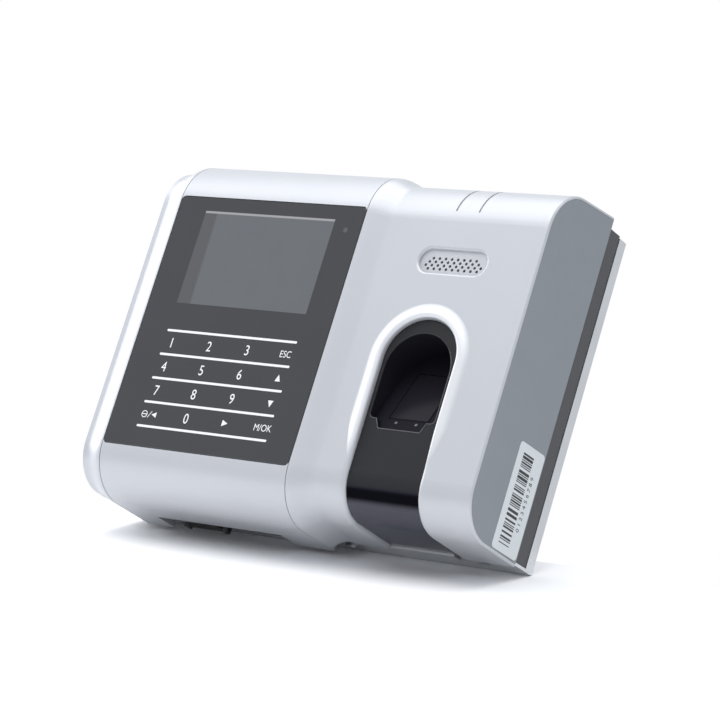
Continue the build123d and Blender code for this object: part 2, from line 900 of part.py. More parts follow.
with BuildPart() as sensor_board:
    with BuildSketch(slope_plane.offset(sensor_top - sensor_block_depth)):
        Rectangle(prism_width + 2 * sensor_block_margin, prism_length + 2 * sensor_block_margin)
    extrude(amount=-sensor_board_thickness)
save(sensor_board.part, "sensor_board")

# ================================================================ speaker
with BuildPart() as speaker_gasket_ring:
    with BuildSketch(front_plane(right_inside)):
        with Locations((grille_row_x, grille_z)):
            Circle(speaker_radius + speaker_gasket_width)
            Circle(speaker_radius, mode=Mode.SUBTRACT)
    extrude(amount=-speaker_gasket)
save(speaker_gasket_ring.part, "speaker_gasket")

with BuildPart() as speaker_cloth:
    with BuildSketch(front_plane(right_inside)):
        with Locations((grille_row_x, grille_z)):
            Circle(speaker_radius - cap_clearance)
    extrude(amount=-cloth_thickness)
save(speaker_cloth.part, "speaker_cloth")

with BuildPart() as speaker:
    speaker_front = right_inside + speaker_gasket
    with BuildSketch(front_plane(speaker_front)):
        with Locations((grille_row_x, grille_z)):
            Circle(speaker_radius + speaker_gasket_width)
            Circle(speaker_radius - speaker_gasket_width, mode=Mode.SUBTRACT)
    extrude(amount=-speaker_rim)
    with BuildSketch(front_plane(speaker_front + speaker_rim)):
        with Locations((grille_row_x, grille_z)):
            Circle(speaker_radius)
    extrude(amount=-(speaker_depth - speaker_rim))
    with BuildSketch(front_plane(speaker_front + speaker_depth)):
        with Locations((grille_row_x, grille_z)):
            Circle(speaker_magnet_radius)
    extrude(amount=-speaker_magnet)
save(speaker.part, "speaker")

# ================================================================ rear tray
tray_half = side_right - tray_inset
with BuildPart() as rear_shell:
    with BuildSketch(front_plane(shell_back)):
        with Locations((0, (tray_top + tray_bottom) / 2)):
            Rectangle(2 * tray_half, tray_top - tray_bottom)
    extrude(amount=-tray_depth)
    # flange that closes the back of the silver shells
    flange_half = side_right - cap_thickness - flange_clearance
    flange_top = strip_top - rail_drop - wall - flange_clearance
    flange_bottom = strip_bottom + right_bottom_rise + wall + flange_clearance
    strip_flange_top = strip_top - wall - 2 * flange_clearance
    strip_flange_bottom = strip_bottom + wall + flange_clearance
    with BuildSketch(front_plane(flange_front)):
        with Locations((0, (flange_top + flange_bottom) / 2)):
            Rectangle(2 * flange_half, flange_top - flange_bottom)
        with Locations((strip_middle, (strip_flange_top + strip_flange_bottom) / 2)):
            Rectangle(strip_width, strip_flange_top - strip_flange_bottom)
        with Locations((well_row_x, flange_bottom)):
            Rectangle(
                2 * (well_radius + flange_clearance), 2 * (well_recess + flange_clearance), mode=Mode.SUBTRACT
            )
    extrude(amount=-flange_thickness)
    # inside
    with BuildSketch(front_plane(flange_front - 1)):
        with Locations((0, (tray_top + tray_bottom) / 2)):
            Rectangle(2 * (tray_half - tray_wall), tray_top - tray_bottom - 2 * tray_wall)
    extrude(amount=-(tray_inner_back - flange_front + 1), mode=Mode.SUBTRACT)
    # screw columns with their counterbores, and standoffs for the main board
    with BuildSketch(front_plane(flange_front)):
        with Locations(*all_screws):
            Circle(column_radius)
    extrude(amount=-(tray_back - flange_front))
    with BuildSketch(front_plane(board_back)):
        with Locations(*board_screw_points):
            Circle(standoff_radius)
    extrude(amount=-(tray_back - board_back))
    with BuildSketch(front_plane(flange_front - 1)):
        with Locations(*all_screws):
            Circle(screw_clearance_radius)
    extrude(amount=-(tray_back - flange_front + 2), mode=Mode.SUBTRACT)
    with BuildSketch(front_plane(flange_front + screw_seat_thickness)):
        with Locations(*all_screws):
            Circle(counterbore_radius)
    extrude(amount=-tray_depth, mode=Mode.SUBTRACT)
    with BuildSketch(front_plane(board_back)):
        with Locations(*board_screw_points):
            Circle(board_screw_radius + shank_clearance)
    extrude(amount=-board_screw_length, mode=Mode.SUBTRACT)
    # port wall above the cut-out in the underside
    with BuildSketch(Plane.XY.offset(port_bottom)):
        with Locations(
            ((port_left + port_right) / 2, (port_front - port_lap + flange_front + flange_thickness / 2) / 2)
        ):
            Rectangle(
                port_right - port_left + 2 * port_lap,
                flange_front + flange_thickness / 2 - port_front + port_lap,
            )
        with Locations((usb_x, usb_y)):
            Rectangle(usb_width + 2 * usb_clearance, usb_height + 2 * usb_clearance, mode=Mode.SUBTRACT)
        with Locations((reset_x, reset_y)):
            Circle(reset_radius + reset_clearance, mode=Mode.SUBTRACT)
    extrude(amount=port_wall)
    # ears for the cover's pin
    for ear_x in (usb_x - flap_half - flap_side_gap - flap_ear, usb_x + flap_half + flap_side_gap):
        with BuildSketch(Plane.YZ.offset(ear_x)):
            with Locations((flap_pin_y, (flap_pin_z - flap_ear_radius + port_bottom + port_wall / 2) / 2)):
                Rectangle(2 * flap_ear_radius, port_bottom + port_wall / 2 - flap_pin_z + flap_ear_radius)
            with Locations((flap_pin_y, flap_pin_z)):
                Circle(flap_pin_radius + flap_pin_clearance, mode=Mode.SUBTRACT)
        extrude(amount=flap_ear)
    # windows in the back for the sockets, slots for the bracket's hooks, hole for the plunger
    with BuildSketch(front_plane(tray_inner_back - 1)):
        with Locations((lan_x, lan_z)):
            Rectangle(lan_width + 2 * window_clearance, lan_height + 2 * window_clearance)
        with Locations((lock_block_x, lock_block_z)):
            Rectangle(lock_block_width + 2 * window_clearance, block_height + 2 * window_clearance)
        with Locations((power_block_x, power_block_z)):
            Rectangle(power_block_width + 2 * window_clearance, block_height + 2 * window_clearance)
        with Locations(*[(x, z + hook_thickness + slot_top_gap - slot_height / 2) for x, z in hook_points]):
            Rectangle(hook_width + 2 * hook_side_gap, slot_height)
        with Locations((tamper_x, tamper_z)):
            Circle(tamper_radius + tamper_clearance)
    extrude(amount=-(tray_wall + 2), mode=Mode.SUBTRACT)
    # hole for the tip of the locking screw
    with BuildSketch(Plane.XY.offset(tray_bottom - 1)):
        with Locations((lock_x, lock_y)):
            Circle(lock_radius + lock_clearance)
    extrude(amount=tray_wall + 2, mode=Mode.SUBTRACT)
save(rear_shell.part, "rear_shell")

with BuildPart() as rear_screws:
    seat = flange_front + screw_seat_thickness
    with BuildSketch(front_plane(seat)):
        with Locations(*all_screws):
            Circle(screw_shank_radius)
    extrude(amount=screw_length)
    with BuildSketch(front_plane(seat)):
        with Locations(*all_screws):
            Circle(screw_head_radius)
    extrude(amount=-screw_head_height)
    with BuildSketch(front_plane(seat + screw_head_height)):
        with Locations(*all_screws):
            Rectangle(screw_head_radius, recess_width)
            Rectangle(recess_width, screw_head_radius)
    extrude(amount=screw_head_height / 2, mode=Mode.SUBTRACT)
save(rear_screws.part, "rear_screws")

# ================================================================ main board and what sits on it
with BuildPart() as main_board:
    with BuildSketch(front_plane(board_front)):
        with Locations(((board_left + board_right) / 2, (board_low + board_high) / 2)):
            Rectangle(board_right - board_left, board_high - board_low)
        with Locations(*board_screw_points):
            Circle(board_screw_radius + shank_clearance, mode=Mode.SUBTRACT)
    extrude(amount=-board_thickness)
save(main_board.part, "main_board")

with BuildPart() as board_screws:
    with BuildSketch(front_plane(board_front)):
        with Locations(*board_screw_points):
            Circle(board_screw_head)
    extrude(amount=board_screw_head / 2)
    with BuildSketch(front_plane(board_front)):
        with Locations(*board_screw_points):
            Circle(board_screw_radius)
    extrude(amount=-(board_screw_length + board_thickness - 1))
save(board_screws.part, "board_screws")

with BuildPart() as board_chips:
    for chip_x, chip_z, chip_width, chip_tall, chip_thickness in chips:
        with BuildSketch(front_plane(board_front)):
            with Locations((chip_x, chip_z)):
                Rectangle(chip_width, chip_tall)
        extrude(amount=chip_thickness)
save(board_chips.part, "board_chips")

with BuildPart() as capacitors:
    with BuildSketch(front_plane(board_front)):
        with Locations(*capacitor_points):
            Circle(capacitor_radius)
    extrude(amount=capacitor_height)
save(capacitors.part, "capacitors")

with BuildPart() as lock_relay:
    with BuildSketch(front_plane(board_front)):
        with Locations((relay_x, relay_z)):
            Rectangle(relay_width, relay_tall)
    extrude(amount=relay_height)
    fillet(lock_relay.edges().filter_by(Axis.Y), relay_round)
save(lock_relay.part, "lock_relay")

with BuildPart() as battery_holder:
    with BuildSketch(front_plane(board_front)):
        with Locations((battery_x, battery_z)):
            Circle(battery_radius + battery_rim)
    extrude(amount=battery_height + battery_rim)
    with BuildSketch(front_plane(board_front - battery_rim)):
        with Locations((battery_x, battery_z)):
            Circle(battery_radius + cap_clearance)
    extrude(amount=battery_height + 1, mode=Mode.SUBTRACT)
save(battery_holder.part, "battery_holder")

with BuildPart() as backup_battery:
    with BuildSketch(front_plane(board_front - battery_rim)):
        with Locations((battery_x, battery_z)):
            Circle(battery_radius)
    extrude(amount=battery_height)
save(backup_battery.part, "backup_battery")

with BuildPart() as buzzer:
    with BuildSketch(front_plane(board_front)):
        with Locations((buzzer_x, buzzer_z)):
            Circle(buzzer_radius)
    extrude(amount=buzzer_height)
    with BuildSketch(front_plane(board_front - buzzer_height)):
        with Locations((buzzer_x, buzzer_z)):
            Circle(buzzer_hole)
    extrude(amount=-buzzer_height / 2, mode=Mode.SUBTRACT)
save(buzzer.part, "buzzer")

with BuildPart() as ribbon_connectors:
    for connector_x, connector_z, connector_width, connector_tall in ribbon_sockets:
        with BuildSketch(front_plane(board_front)):
            with Locations((connector_x, connector_z)):
                Rectangle(connector_width, connector_tall)
        extrude(amount=connector_height)
save(ribbon_connectors.part, "ribbon_connectors")

with BuildPart() as display_ribbon:
    with BuildSketch(Plane.YZ.offset(window_middle_x - ribbon_width / 2)):
        with BuildLine() as display_path:
            FilletPolyline(
                (display_back + clip_frame_thickness + ribbon_gap, window_middle_z - ribbon_lift),
                (display_back + clip_frame_thickness + ribbon_gap, display_socket_z + ribbon_run),
                (board_front - connector_height - ribbon_gap, display_socket_z + ribbon_lift),
                (board_front - connector_height - ribbon_gap, display_socket_z - ribbon_bend),
                radius=ribbon_bend,
            )
        trace(display_path.line, ribbon_thickness)
    extrude(amount=ribbon_width)
save(display_ribbon.part, "display_ribbon")

with BuildPart() as sensor_ribbon:
    with BuildSketch(Plane.XY.offset(sensor_socket_z - ribbon_width / 4)):
        with BuildLine() as sensor_path:
            FilletPolyline(
                (well_row_x - prism_width / 2 - sensor_block_margin - ribbon_gap, board_front - ribbon_lift),
                (seam_right + ribbon_run, board_front - ribbon_height),
                (board_right + ribbon_lift, board_front - ribbon_height),
                (sensor_socket_x, board_front - connector_height - ribbon_gap),
                radius=ribbon_bend,
            )
        trace(sensor_path.line, ribbon_thickness)
    extrude(amount=ribbon_width / 2)
save(sensor_ribbon.part, "sensor_ribbon")

# ================================================================ sockets
with BuildPart() as usb_socket:
    with BuildSketch(Plane.XY.offset(usb_mouth)):
        with Locations((usb_x, usb_y)):
            Rectangle(usb_width, usb_height)
    extrude(amount=usb_length)
    with BuildSketch(Plane.XY.offset(usb_mouth - 1)):
        with Locations((usb_x, usb_y)):
            Rectangle(usb_width - 2 * usb_wall, usb_height - 2 * usb_wall)
        with Locations((usb_x, usb_y - usb_tongue_offset)):
            Rectangle(usb_width - 4 * usb_wall, usb_tongue, mode=Mode.SUBTRACT)
    extrude(amount=usb_length - 2, mode=Mode.SUBTRACT)
save(usb_socket.part, "usb_socket")

with BuildPart() as usb_cover:
    cover_front = usb_y - usb_height / 2 - flap_lap
    with BuildSketch(Plane.XY.offset(port_bottom - flap_gap)):
        with Locations((usb_x, (cover_front + flap_pin_y) / 2)):
            Rectangle(2 * flap_half, flap_pin_y - cover_front)
    extrude(amount=-flap_thickness)
    with BuildSketch(Plane.YZ.offset(usb_x - flap_half)):
        with Locations((flap_pin_y, flap_pin_z)):
            Circle(flap_knuckle)
    extrude(amount=2 * flap_half)
    with BuildSketch(Plane.YZ.offset(usb_x - flap_half - flap_side_gap - flap_ear)):
        with Locations((flap_pin_y, flap_pin_z)):
            Circle(flap_pin_radius)
    extrude(amount=2 * (flap_half + flap_side_gap + flap_ear))
    with BuildSketch(Plane.XY.offset(port_bottom - flap_gap - flap_thickness)):
        with Locations((usb_x, cover_front + flap_grip_depth / 2)):
            Rectangle(flap_half, flap_grip_depth)
    extrude(amount=-flap_grip)
save(usb_cover.part, "usb_cover")

with BuildPart() as lan_socket:
    with BuildSketch(front_plane(board_back)):
        with Locations((lan_x, lan_z)):
            Rectangle(lan_width, lan_height)
    extrude(amount=-(tray_back - window_clearance / 2 - board_back))
    with BuildSketch(front_plane(tray_back)):
        with Locations((lan_x, lan_z)):
            Rectangle(lan_mouth_width, lan_mouth_height)
        with Locations((lan_x, lan_z - lan_mouth_height / 2 - lan_latch_height / 2)):
            Rectangle(lan_latch_width, lan_latch_height)
    extrude(amount=lan_mouth_depth, mode=Mode.SUBTRACT)
save(lan_socket.part, "network_socket")


def terminal_block(poles, x, z):
    """Row of screw terminals with its wire holes facing the wall."""
    with BuildPart() as block:
        with BuildSketch(front_plane(board_back)):
            with Locations((x, z)):
                Rectangle(poles * block_pitch + 1, block_height)
        extrude(amount=-block_depth)
        with BuildSketch(front_plane(board_back + block_depth)):
            with Locations((x, z - block_height / 5)):
                with GridLocations(block_pitch, 1, poles, 1):
                    Rectangle(wire_hole, wire_hole)
            with Locations((x, z + block_height / 4)):
                with GridLocations(block_pitch, 1, poles, 1):
                    Circle(wire_hole / 2)
        extrude(amount=block_depth / 2, mode=Mode.SUBTRACT)
    return block.part


save(terminal_block(lock_block_poles, lock_block_x, lock_block_z), "lock_terminals")
save(terminal_block(power_block_poles, power_block_x, power_block_z), "power_terminals")

# ================================================================ tamper plunger and reset button
with BuildPart() as tamper_plunger:
    with BuildSketch(front_plane(-sheet - hang_gap)):
        with Locations((tamper_x, tamper_z)):
            Circle(tamper_radius)
    extrude(amount=tray_inner_back_gap - sheet - hang_gap)
    with BuildSketch(front_plane(-tray_inner_back_gap)):
        with Locations((tamper_x, tamper_z)):
            Circle(tamper_flange)
    extrude(amount=tamper_flange_thickness)
    with BuildSketch(front_plane(-tray_inner_back_gap - tamper_flange_thickness)):
        with Locations((tamper_x, tamper_z)):
            Circle(tamper_radius / 2)
    extrude(amount=tamper_rod)
    fillet(tamper_plunger.faces().sort_by(Axis.Y)[-1].edges(), tamper_radius / 3)
save(tamper_plunger.part, "tamper_plunger")

with BuildPart() as tamper_switch:
    with BuildSketch(front_plane(board_back)):
        with Locations((tamper_x, tamper_z)):
            Rectangle(tamper_switch_size, tamper_switch_size)
    extrude(amount=-tamper_switch_height)
save(tamper_switch.part, "tamper_switch")

with BuildPart() as reset_button:
    with BuildSketch(Plane.XY.offset(port_bottom - reset_proud)):
        with Locations((reset_x, reset_y)):
            Circle(reset_radius)
    extrude(amount=port_wall + reset_proud + reset_gap)
    with BuildSketch(Plane.XY.offset(port_top + reset_gap)):
        with Locations((reset_x, reset_y)):
            Circle(reset_flange)
    extrude(amount=reset_flange_thickness)
    fillet(reset_button.faces().sort_by(Axis.Z)[0].edges(), reset_radius / 4)
save(reset_button.part, "reset_button")

with BuildPart() as reset_switch:
    switch_low = port_top + reset_gap + reset_flange_thickness + reset_travel + reset_gap
    with BuildSketch(Plane.XY.offset(switch_low)):
        with Locations((reset_x, reset_y)):
            Rectangle(reset_switch_width, 2 * (reset_y - board_back))
    extrude(amount=reset_switch_length)
save(reset_switch.part, "reset_switch")

# ================================================================ wall bracket and locking screw
bracket_half = side_right - bracket_inset
with BuildPart() as wall_bracket:
    with BuildSketch(front_plane(-bracket_depth)):
        with Locations((0, (bracket_top + ledge_bottom) / 2)):
            Rectangle(2 * bracket_half, bracket_top - ledge_bottom)
    extrude(amount=-bracket_depth)
    back_edges = wall_bracket.faces().sort_by(Axis.Y)[-1].edges()
    fillet(back_edges, bracket_bend)
    with BuildSketch(front_plane(-bracket_depth - 1)):
        with Locations((0, (bracket_top + ledge_bottom) / 2)):
            Rectangle(2 * (bracket_half - lip_sheet), bracket_top - ledge_bottom - 2 * lip_sheet)
    extrude(amount=-(bracket_depth + 1 - sheet), mode=Mode.SUBTRACT)
    # ledge under the terminal
    with BuildSketch(Plane.XY.offset(ledge_bottom)):
        with Locations((0, (ledge_front - sheet) / 2)):
            Rectangle(2 * bracket_half, -sheet - ledge_front)
        with Locations(((ledge_notch_left + ledge_notch_right) / 2, ledge_front)):
            Rectangle(ledge_notch_right - ledge_notch_left, 2 * ledge_notch_depth, mode=Mode.SUBTRACT)
    extrude(amount=lip_sheet)
    with BuildSketch(front_plane(-bracket_depth)):
        with Locations(((cable_left + cable_right) / 2, (cable_low + cable_high) / 2)):
            Rectangle(cable_right - cable_left, cable_high - cable_low)
        with Locations(*[(x, z) for x in (-wall_screw_x, wall_screw_x) for z in (-wall_screw_z, wall_screw_z)]):
            Circle(wall_screw_radius)
    extrude(amount=-(bracket_depth + 1), mode=Mode.SUBTRACT)
    with BuildSketch(Plane.XY.offset(ledge_bottom - 1)):
        with Locations((lock_x, lock_y)):
            Circle(lock_radius + lock_clearance)
    extrude(amount=lip_sheet + 2, mode=Mode.SUBTRACT)
    # hooks that the terminal hangs on
    hook_reach = -tray_inner_back + hook_gap + hook_thickness
    for hook_middle, hook_z in hook_points:
        with BuildSketch(Plane.YZ.offset(hook_middle - hook_width / 2)):
            with BuildLine():
                Polyline(
                    (-sheet / 2, hook_z),
                    (-hook_reach, hook_z),
                    (-hook_reach, hook_z + hook_thickness + hook_lip),
                    (-hook_reach + hook_thickness, hook_z + hook_thickness + hook_lip),
                    (-hook_reach + hook_thickness, hook_z + hook_thickness),
                    (-sheet / 2, hook_z + hook_thickness),
                    close=True,
                )
            make_face()
        extrude(amount=hook_width)
save(wall_bracket.part, "wall_bracket")

with BuildPart() as lock_screw:
    with BuildSketch(Plane.XY.offset(ledge_bottom)):
        with Locations((lock_x, lock_y)):
            Circle(lock_head_radius)
    extrude(amount=-lock_head_height)
    with BuildSketch(Plane.XY.offset(ledge_bottom)):
        with Locations((lock_x, lock_y)):
            Circle(lock_radius)
    extrude(amount=lock_length)
    with BuildSketch(Plane.XY.offset(ledge_bottom - lock_head_height)):
        with Locations((lock_x, lock_y)):
            Rectangle(lock_head_radius, recess_width)
            Rectangle(recess_width, lock_head_radius)
    extrude(amount=lock_head_height / 2, mode=Mode.SUBTRACT)
save(lock_screw.part, "lock_screw")
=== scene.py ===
"""Looks of the wall-mounted time clock: printed glass, finger well, label, screws and finishes.

Metres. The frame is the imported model's: X to the right, Y into the wall, Z up, and the origin is
the middle of the four wall screws on the back face of the wall bracket.
"""
import json
import math
import random

import bmesh
import bpy
from mathutils import Matrix, Vector


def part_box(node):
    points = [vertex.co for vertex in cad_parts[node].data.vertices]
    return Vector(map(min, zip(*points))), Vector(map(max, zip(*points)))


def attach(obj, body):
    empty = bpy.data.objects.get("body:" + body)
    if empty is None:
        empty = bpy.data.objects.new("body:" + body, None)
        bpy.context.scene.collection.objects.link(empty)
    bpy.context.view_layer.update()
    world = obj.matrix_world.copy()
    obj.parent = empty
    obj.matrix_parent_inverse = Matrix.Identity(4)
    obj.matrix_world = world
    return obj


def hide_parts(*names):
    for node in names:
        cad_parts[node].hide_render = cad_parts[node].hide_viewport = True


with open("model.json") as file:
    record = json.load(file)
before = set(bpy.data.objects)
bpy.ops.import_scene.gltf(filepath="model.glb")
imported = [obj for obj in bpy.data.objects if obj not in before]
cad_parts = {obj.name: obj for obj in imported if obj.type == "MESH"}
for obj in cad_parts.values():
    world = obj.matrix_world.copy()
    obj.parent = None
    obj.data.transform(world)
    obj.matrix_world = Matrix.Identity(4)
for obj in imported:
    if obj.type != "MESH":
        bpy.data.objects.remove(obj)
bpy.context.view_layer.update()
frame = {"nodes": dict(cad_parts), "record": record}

MM = 0.001
SCENE = bpy.context.scene

# ---------------------------------------------------------------- places read from the frame
glass_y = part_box("touch_panel")[0].y
display_low, display_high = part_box("display_module")
light_low, light_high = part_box("status_light_pipe")
well_low, well_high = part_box("finger_well")
well_x = (well_low.x + well_high.x) / 2
well_face_y = well_low.y
label_low, label_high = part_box("side_label")
WELL_RECESS = 1.4 * MM       # the insert's face lies this far behind the right-hand shell's
right_face_y = well_face_y - WELL_RECESS
WELL_CREASE_Z = -56.2 * MM   # the insert is satin above this height and polished below it
CREASE_SOFT = 1.6 * MM       # the change from satin to polished runs this far each way
DARK_REFLECTION_BAND = 4.4 * MM         # height of the band of painted dark reflection under that line
CAVITY_BLACK = (0.014, 0.013, 0.018)
# lighter silver for the painted highlight on the lip's crest
CREST_HIGHLIGHT_SILVER = (0.74, 0.75, 0.77)


# ================================================================ node helpers
class Finish:
    """A material with its node tree, and short calls for the nodes that the finishes share."""

    def __init__(self, name):
        self.material = bpy.data.materials.new(name)
        self.material.use_nodes = True
        self.nodes = self.material.node_tree.nodes
        self.links = self.material.node_tree.links
        self.shader = self.nodes["Principled BSDF"]
        self.place = self.nodes.new("ShaderNodeTexCoord").outputs["Object"]

    def set(self, **values):
        """Constants on the shader's own sockets, with underscores for spaces."""
        for key, value in values.items():
            self.shader.inputs[key.replace("_", " ").title().replace("Ior", "IOR")].default_value = value
        return self

    def feed(self, socket, output):
        self.links.new(output, self.shader.inputs[socket])

    def stretched(self, scale, turn=(0, 0, 0)):
        """Object coordinates, turned and scaled."""
        mapping = self.nodes.new("ShaderNodeMapping")
        mapping.inputs["Scale"].default_value = scale
        mapping.inputs["Rotation"].default_value = turn
        self.links.new(self.place, mapping.inputs["Vector"])
        return mapping.outputs["Vector"]

    def noise(self, size, detail=3.0, roughness=0.5, where=None):
        """Noise whose grains are about size metres across."""
        node = self.nodes.new("ShaderNodeTexNoise")
        node.inputs["Scale"].default_value = 1 / size
        node.inputs["Detail"].default_value = detail
        node.inputs["Roughness"].default_value = roughness
        self.links.new(where or self.place, node.inputs["Vector"])
        return node.outputs["Fac"]

    def cells(self, size, feature="F1", where=None):
        node = self.nodes.new("ShaderNodeTexVoronoi")
        node.feature = feature
        node.inputs["Scale"].default_value = 1 / size
        self.links.new(where or self.place, node.inputs["Vector"])
        return node.outputs["Distance"]

    def axis(self, name, where=None):
        """One coordinate of a point: X, Y or Z."""
        split = self.nodes.new("ShaderNodeSeparateXYZ")
        self.links.new(where or self.place, split.inputs["Vector"])
        return split.outputs[name]

    def math(self, operation, first, second=0.0, third=0.0):
        node = self.nodes.new("ShaderNodeMath")
        node.operation = operation
        for slot, value in zip(node.inputs, (first, second, third)):
            if isinstance(value, (int, float)):
                slot.default_value = value
            else:
                self.links.new(value, slot)
        return node.outputs["Value"]

    def step(self, value, start, end):
        """0 below start and 1 above end, or the other way round when end is below start."""
        node = self.nodes.new("ShaderNodeMapRange")
        node.interpolation_type = "SMOOTHSTEP"
        low, high = min(start, end), max(start, end)
        node.inputs["From Min"].default_value = low
        node.inputs["From Max"].default_value = high
        node.inputs["To Min"].default_value = 0.0 if end > start else 1.0
        node.inputs["To Max"].default_value = 1.0 if end > start else 0.0
        self.links.new(value, node.inputs["Value"])
        return node.outputs["Result"]

    def band(self, value, low, high, soft):
        """1 between low and high, with edges soft metres wide."""
        return self.math(
            "MULTIPLY",
            self.step(value, low - soft / 2, low + soft / 2),
            self.step(value, high + soft / 2, high - soft / 2),
        )

    def blend(self, factor, first, second):
        """Colour between two, each given as a colour or as another node's output."""
        node = self.nodes.new("ShaderNodeMix")
        node.data_type = "RGBA"
        if isinstance(factor, float):
            node.inputs["Factor"].default_value = factor
        else:
            self.links.new(factor, node.inputs["Factor"])
        for slot, value in ((node.inputs[6], first), (node.inputs[7], second)):
            if isinstance(value, tuple):
                slot.default_value = (*value, 1.0)
            else:
                self.links.new(value, slot)
        return node.outputs[2]

    def spread(self, value, low, high):
        """A 0 to 1 value laid over low to high."""
        node = self.nodes.new("ShaderNodeMapRange")
        node.inputs["To Min"].default_value = low
        node.inputs["To Max"].default_value = high
        self.links.new(value, node.inputs["Value"])
        return node.outputs["Result"]

    def bump(self, height, depth, strength=1.0):
        node = self.nodes.new("ShaderNodeBump")
        node.inputs["Strength"].default_value = strength
        node.inputs["Distance"].default_value = depth
        self.links.new(height, node.inputs["Height"])
        self.feed("Normal", node.outputs["Normal"])
        return self


GRAIN_DEPTH = 0.012 * MM


def moulded(name, dark, light, roughness, grain=0.35 * MM):
    """Moulded plastic: faint mottling of the colour and a fine spark-eroded grain."""
    finish = Finish(name)
    finish.feed("Base Color", finish.blend(finish.noise(9 * MM, 4.0), dark, light))
    finish.feed("Roughness", finish.spread(finish.noise(3 * MM), roughness - 0.05, roughness + 0.05))
    finish.bump(finish.noise(grain, 2.0, 0.7), GRAIN_DEPTH, 0.6)
    return finish.material


def sheet_metal(name, dark, light, roughness, turn=(0, 0, 0)):
    """Rolled sheet: fine drawn lines one way and soft clouds in the plating."""
    finish = Finish(name)
    lines = finish.noise(0.4 * MM, 3.0, 0.6, finish.stretched((0.04, 1.0, 1.0), turn))
    clouds = finish.noise(14 * MM, 3.0)
    finish.feed("Base Color", finish.blend(clouds, dark, light))
    finish.feed("Roughness", finish.spread(lines, roughness - 0.07, roughness + 0.09))
    finish.bump(lines, 0.01 * MM, 0.5)
    finish.set(metallic=1.0)
    return finish.material


# ================================================================ finishes
def silver_paint(name, painted_crest_highlight):
    """Satin silver paint with a very fine sparkle and, when asked, a painted highlight that makes it
    lighter where it stands proud of the shell.
    """
    finish = Finish(name)
    flakes = finish.cells(0.12 * MM)
    colour = finish.blend(finish.noise(30 * MM, 2.0), (0.455, 0.468, 0.500), (0.485, 0.498, 0.530))
    if painted_crest_highlight:
        # painted highlight: lighter where the lip stands proud of the shell's face
        crest_highlight = finish.step(finish.axis("Y"), right_face_y + 0.2 * MM, right_face_y - 0.6 * MM)
        colour = finish.blend(finish.math("MULTIPLY", crest_highlight, 0.8), colour, CREST_HIGHLIGHT_SILVER)
    finish.feed("Base Color", finish.blend(finish.spread(flakes, 0.0, 0.25), colour, (0.62, 0.63, 0.66)))
    finish.feed("Roughness", finish.spread(finish.noise(1.2 * MM, 3.0), 0.34, 0.41))
    finish.bump(finish.noise(0.5 * MM, 2.0), 0.004 * MM, 0.4)
    finish.set(metallic=0.4, coat_weight=0.2, coat_roughness=0.3)
    return finish.material


WINDOW_BORDER = 3.4 * MM     # the mask covers this much of the display module on every side
PRINT_EDGE = 0.25 * MM
# width of the painted highlight along the window's top edge, standing for the reflection on the display
# frame's top edge
TOP_HIGHLIGHT_WIDTH = 0.9 * MM
LEFT_BORDER_SHADE = 7.0 * MM       # darker strip at the window's left edge: partly the display's own border, partly painted shade from the mask's edge
LEFT_BORDER_SHADE_SOFT = 0.8 * MM
SPOT_RADIUS = 1.0 * MM       # thin mask over the light pipe
SPOT_SOFT = 0.3 * MM


def panel_print():
    """Back-printed glass: dark mask, lighter display window and a faint spot for the light, with a painted
    highlight along the window's top edge and a darker strip at its left edge that is partly painted shade.
    """
    finish = Finish("dark_glass")
    across, up = finish.axis("X"), finish.axis("Z")
    left, right = display_low.x + WINDOW_BORDER, display_high.x - WINDOW_BORDER
    low, high = display_low.z + WINDOW_BORDER, display_high.z - WINDOW_BORDER
    window = finish.math(
        "MULTIPLY",
        finish.band(across, left, right, PRINT_EDGE),
        finish.band(up, low, high, PRINT_EDGE),
    )
    # darker strip at the window's left edge: partly the display's border outside its active area, partly
    # painted shade cast by the mask's edge
    active = finish.step(
        finish.math("MULTIPLY_ADD", up, 0.02, across),
        left + LEFT_BORDER_SHADE - LEFT_BORDER_SHADE_SOFT,
        left + LEFT_BORDER_SHADE + LEFT_BORDER_SHADE_SOFT,
    )
    active_area_tone = finish.blend(finish.noise(11 * MM, 1.0), (0.088, 0.094, 0.106), (0.098, 0.102, 0.108))
    display = finish.blend(active, (0.062, 0.063, 0.068), active_area_tone)
    # painted highlight: a pale line along the window's top edge
    painted_top_highlight = finish.band(up, high - TOP_HIGHLIGHT_WIDTH, high + 0.1 * MM, 0.3 * MM)
    display = finish.blend(painted_top_highlight, display, (0.27, 0.27, 0.275))
    mask = finish.blend(finish.noise(20 * MM, 2.0), (0.021, 0.022, 0.025), (0.026, 0.027, 0.030))
    spot_x = finish.math("SUBTRACT", across, (light_low.x + light_high.x) / 2)
    spot_z = finish.math("SUBTRACT", up, (light_low.z + light_high.z) / 2)
    away = finish.math(
        "ADD", finish.math("MULTIPLY", spot_x, spot_x), finish.math("MULTIPLY", spot_z, spot_z)
    )
    spot = finish.step(away, (SPOT_RADIUS + SPOT_SOFT) ** 2, (SPOT_RADIUS - SPOT_SOFT) ** 2)
    mask = finish.blend(finish.math("MULTIPLY", spot, 0.35), mask, (0.15, 0.15, 0.16))
    finish.feed("Base Color", finish.blend(window, mask, display))
    finish.feed("Roughness", finish.spread(finish.noise(25 * MM, 3.0), 0.09, 0.14))
    finish.bump(finish.noise(18 * MM, 1.0), 0.02 * MM, 0.25)
    finish.set(ior=1.5, coat_weight=0.4, coat_roughness=0.04)
    return finish.material


def legend_ink():
    """White ink, a little thin in places."""
    finish = Finish("legend_ink")
    finish.feed("Base Color", finish.blend(finish.noise(0.8 * MM), (0.66, 0.66, 0.68), (0.82, 0.82, 0.84)))
    finish.bump(finish.noise(0.2 * MM), 0.003 * MM, 0.5)
    finish.set(roughness=0.4)
    return finish.material


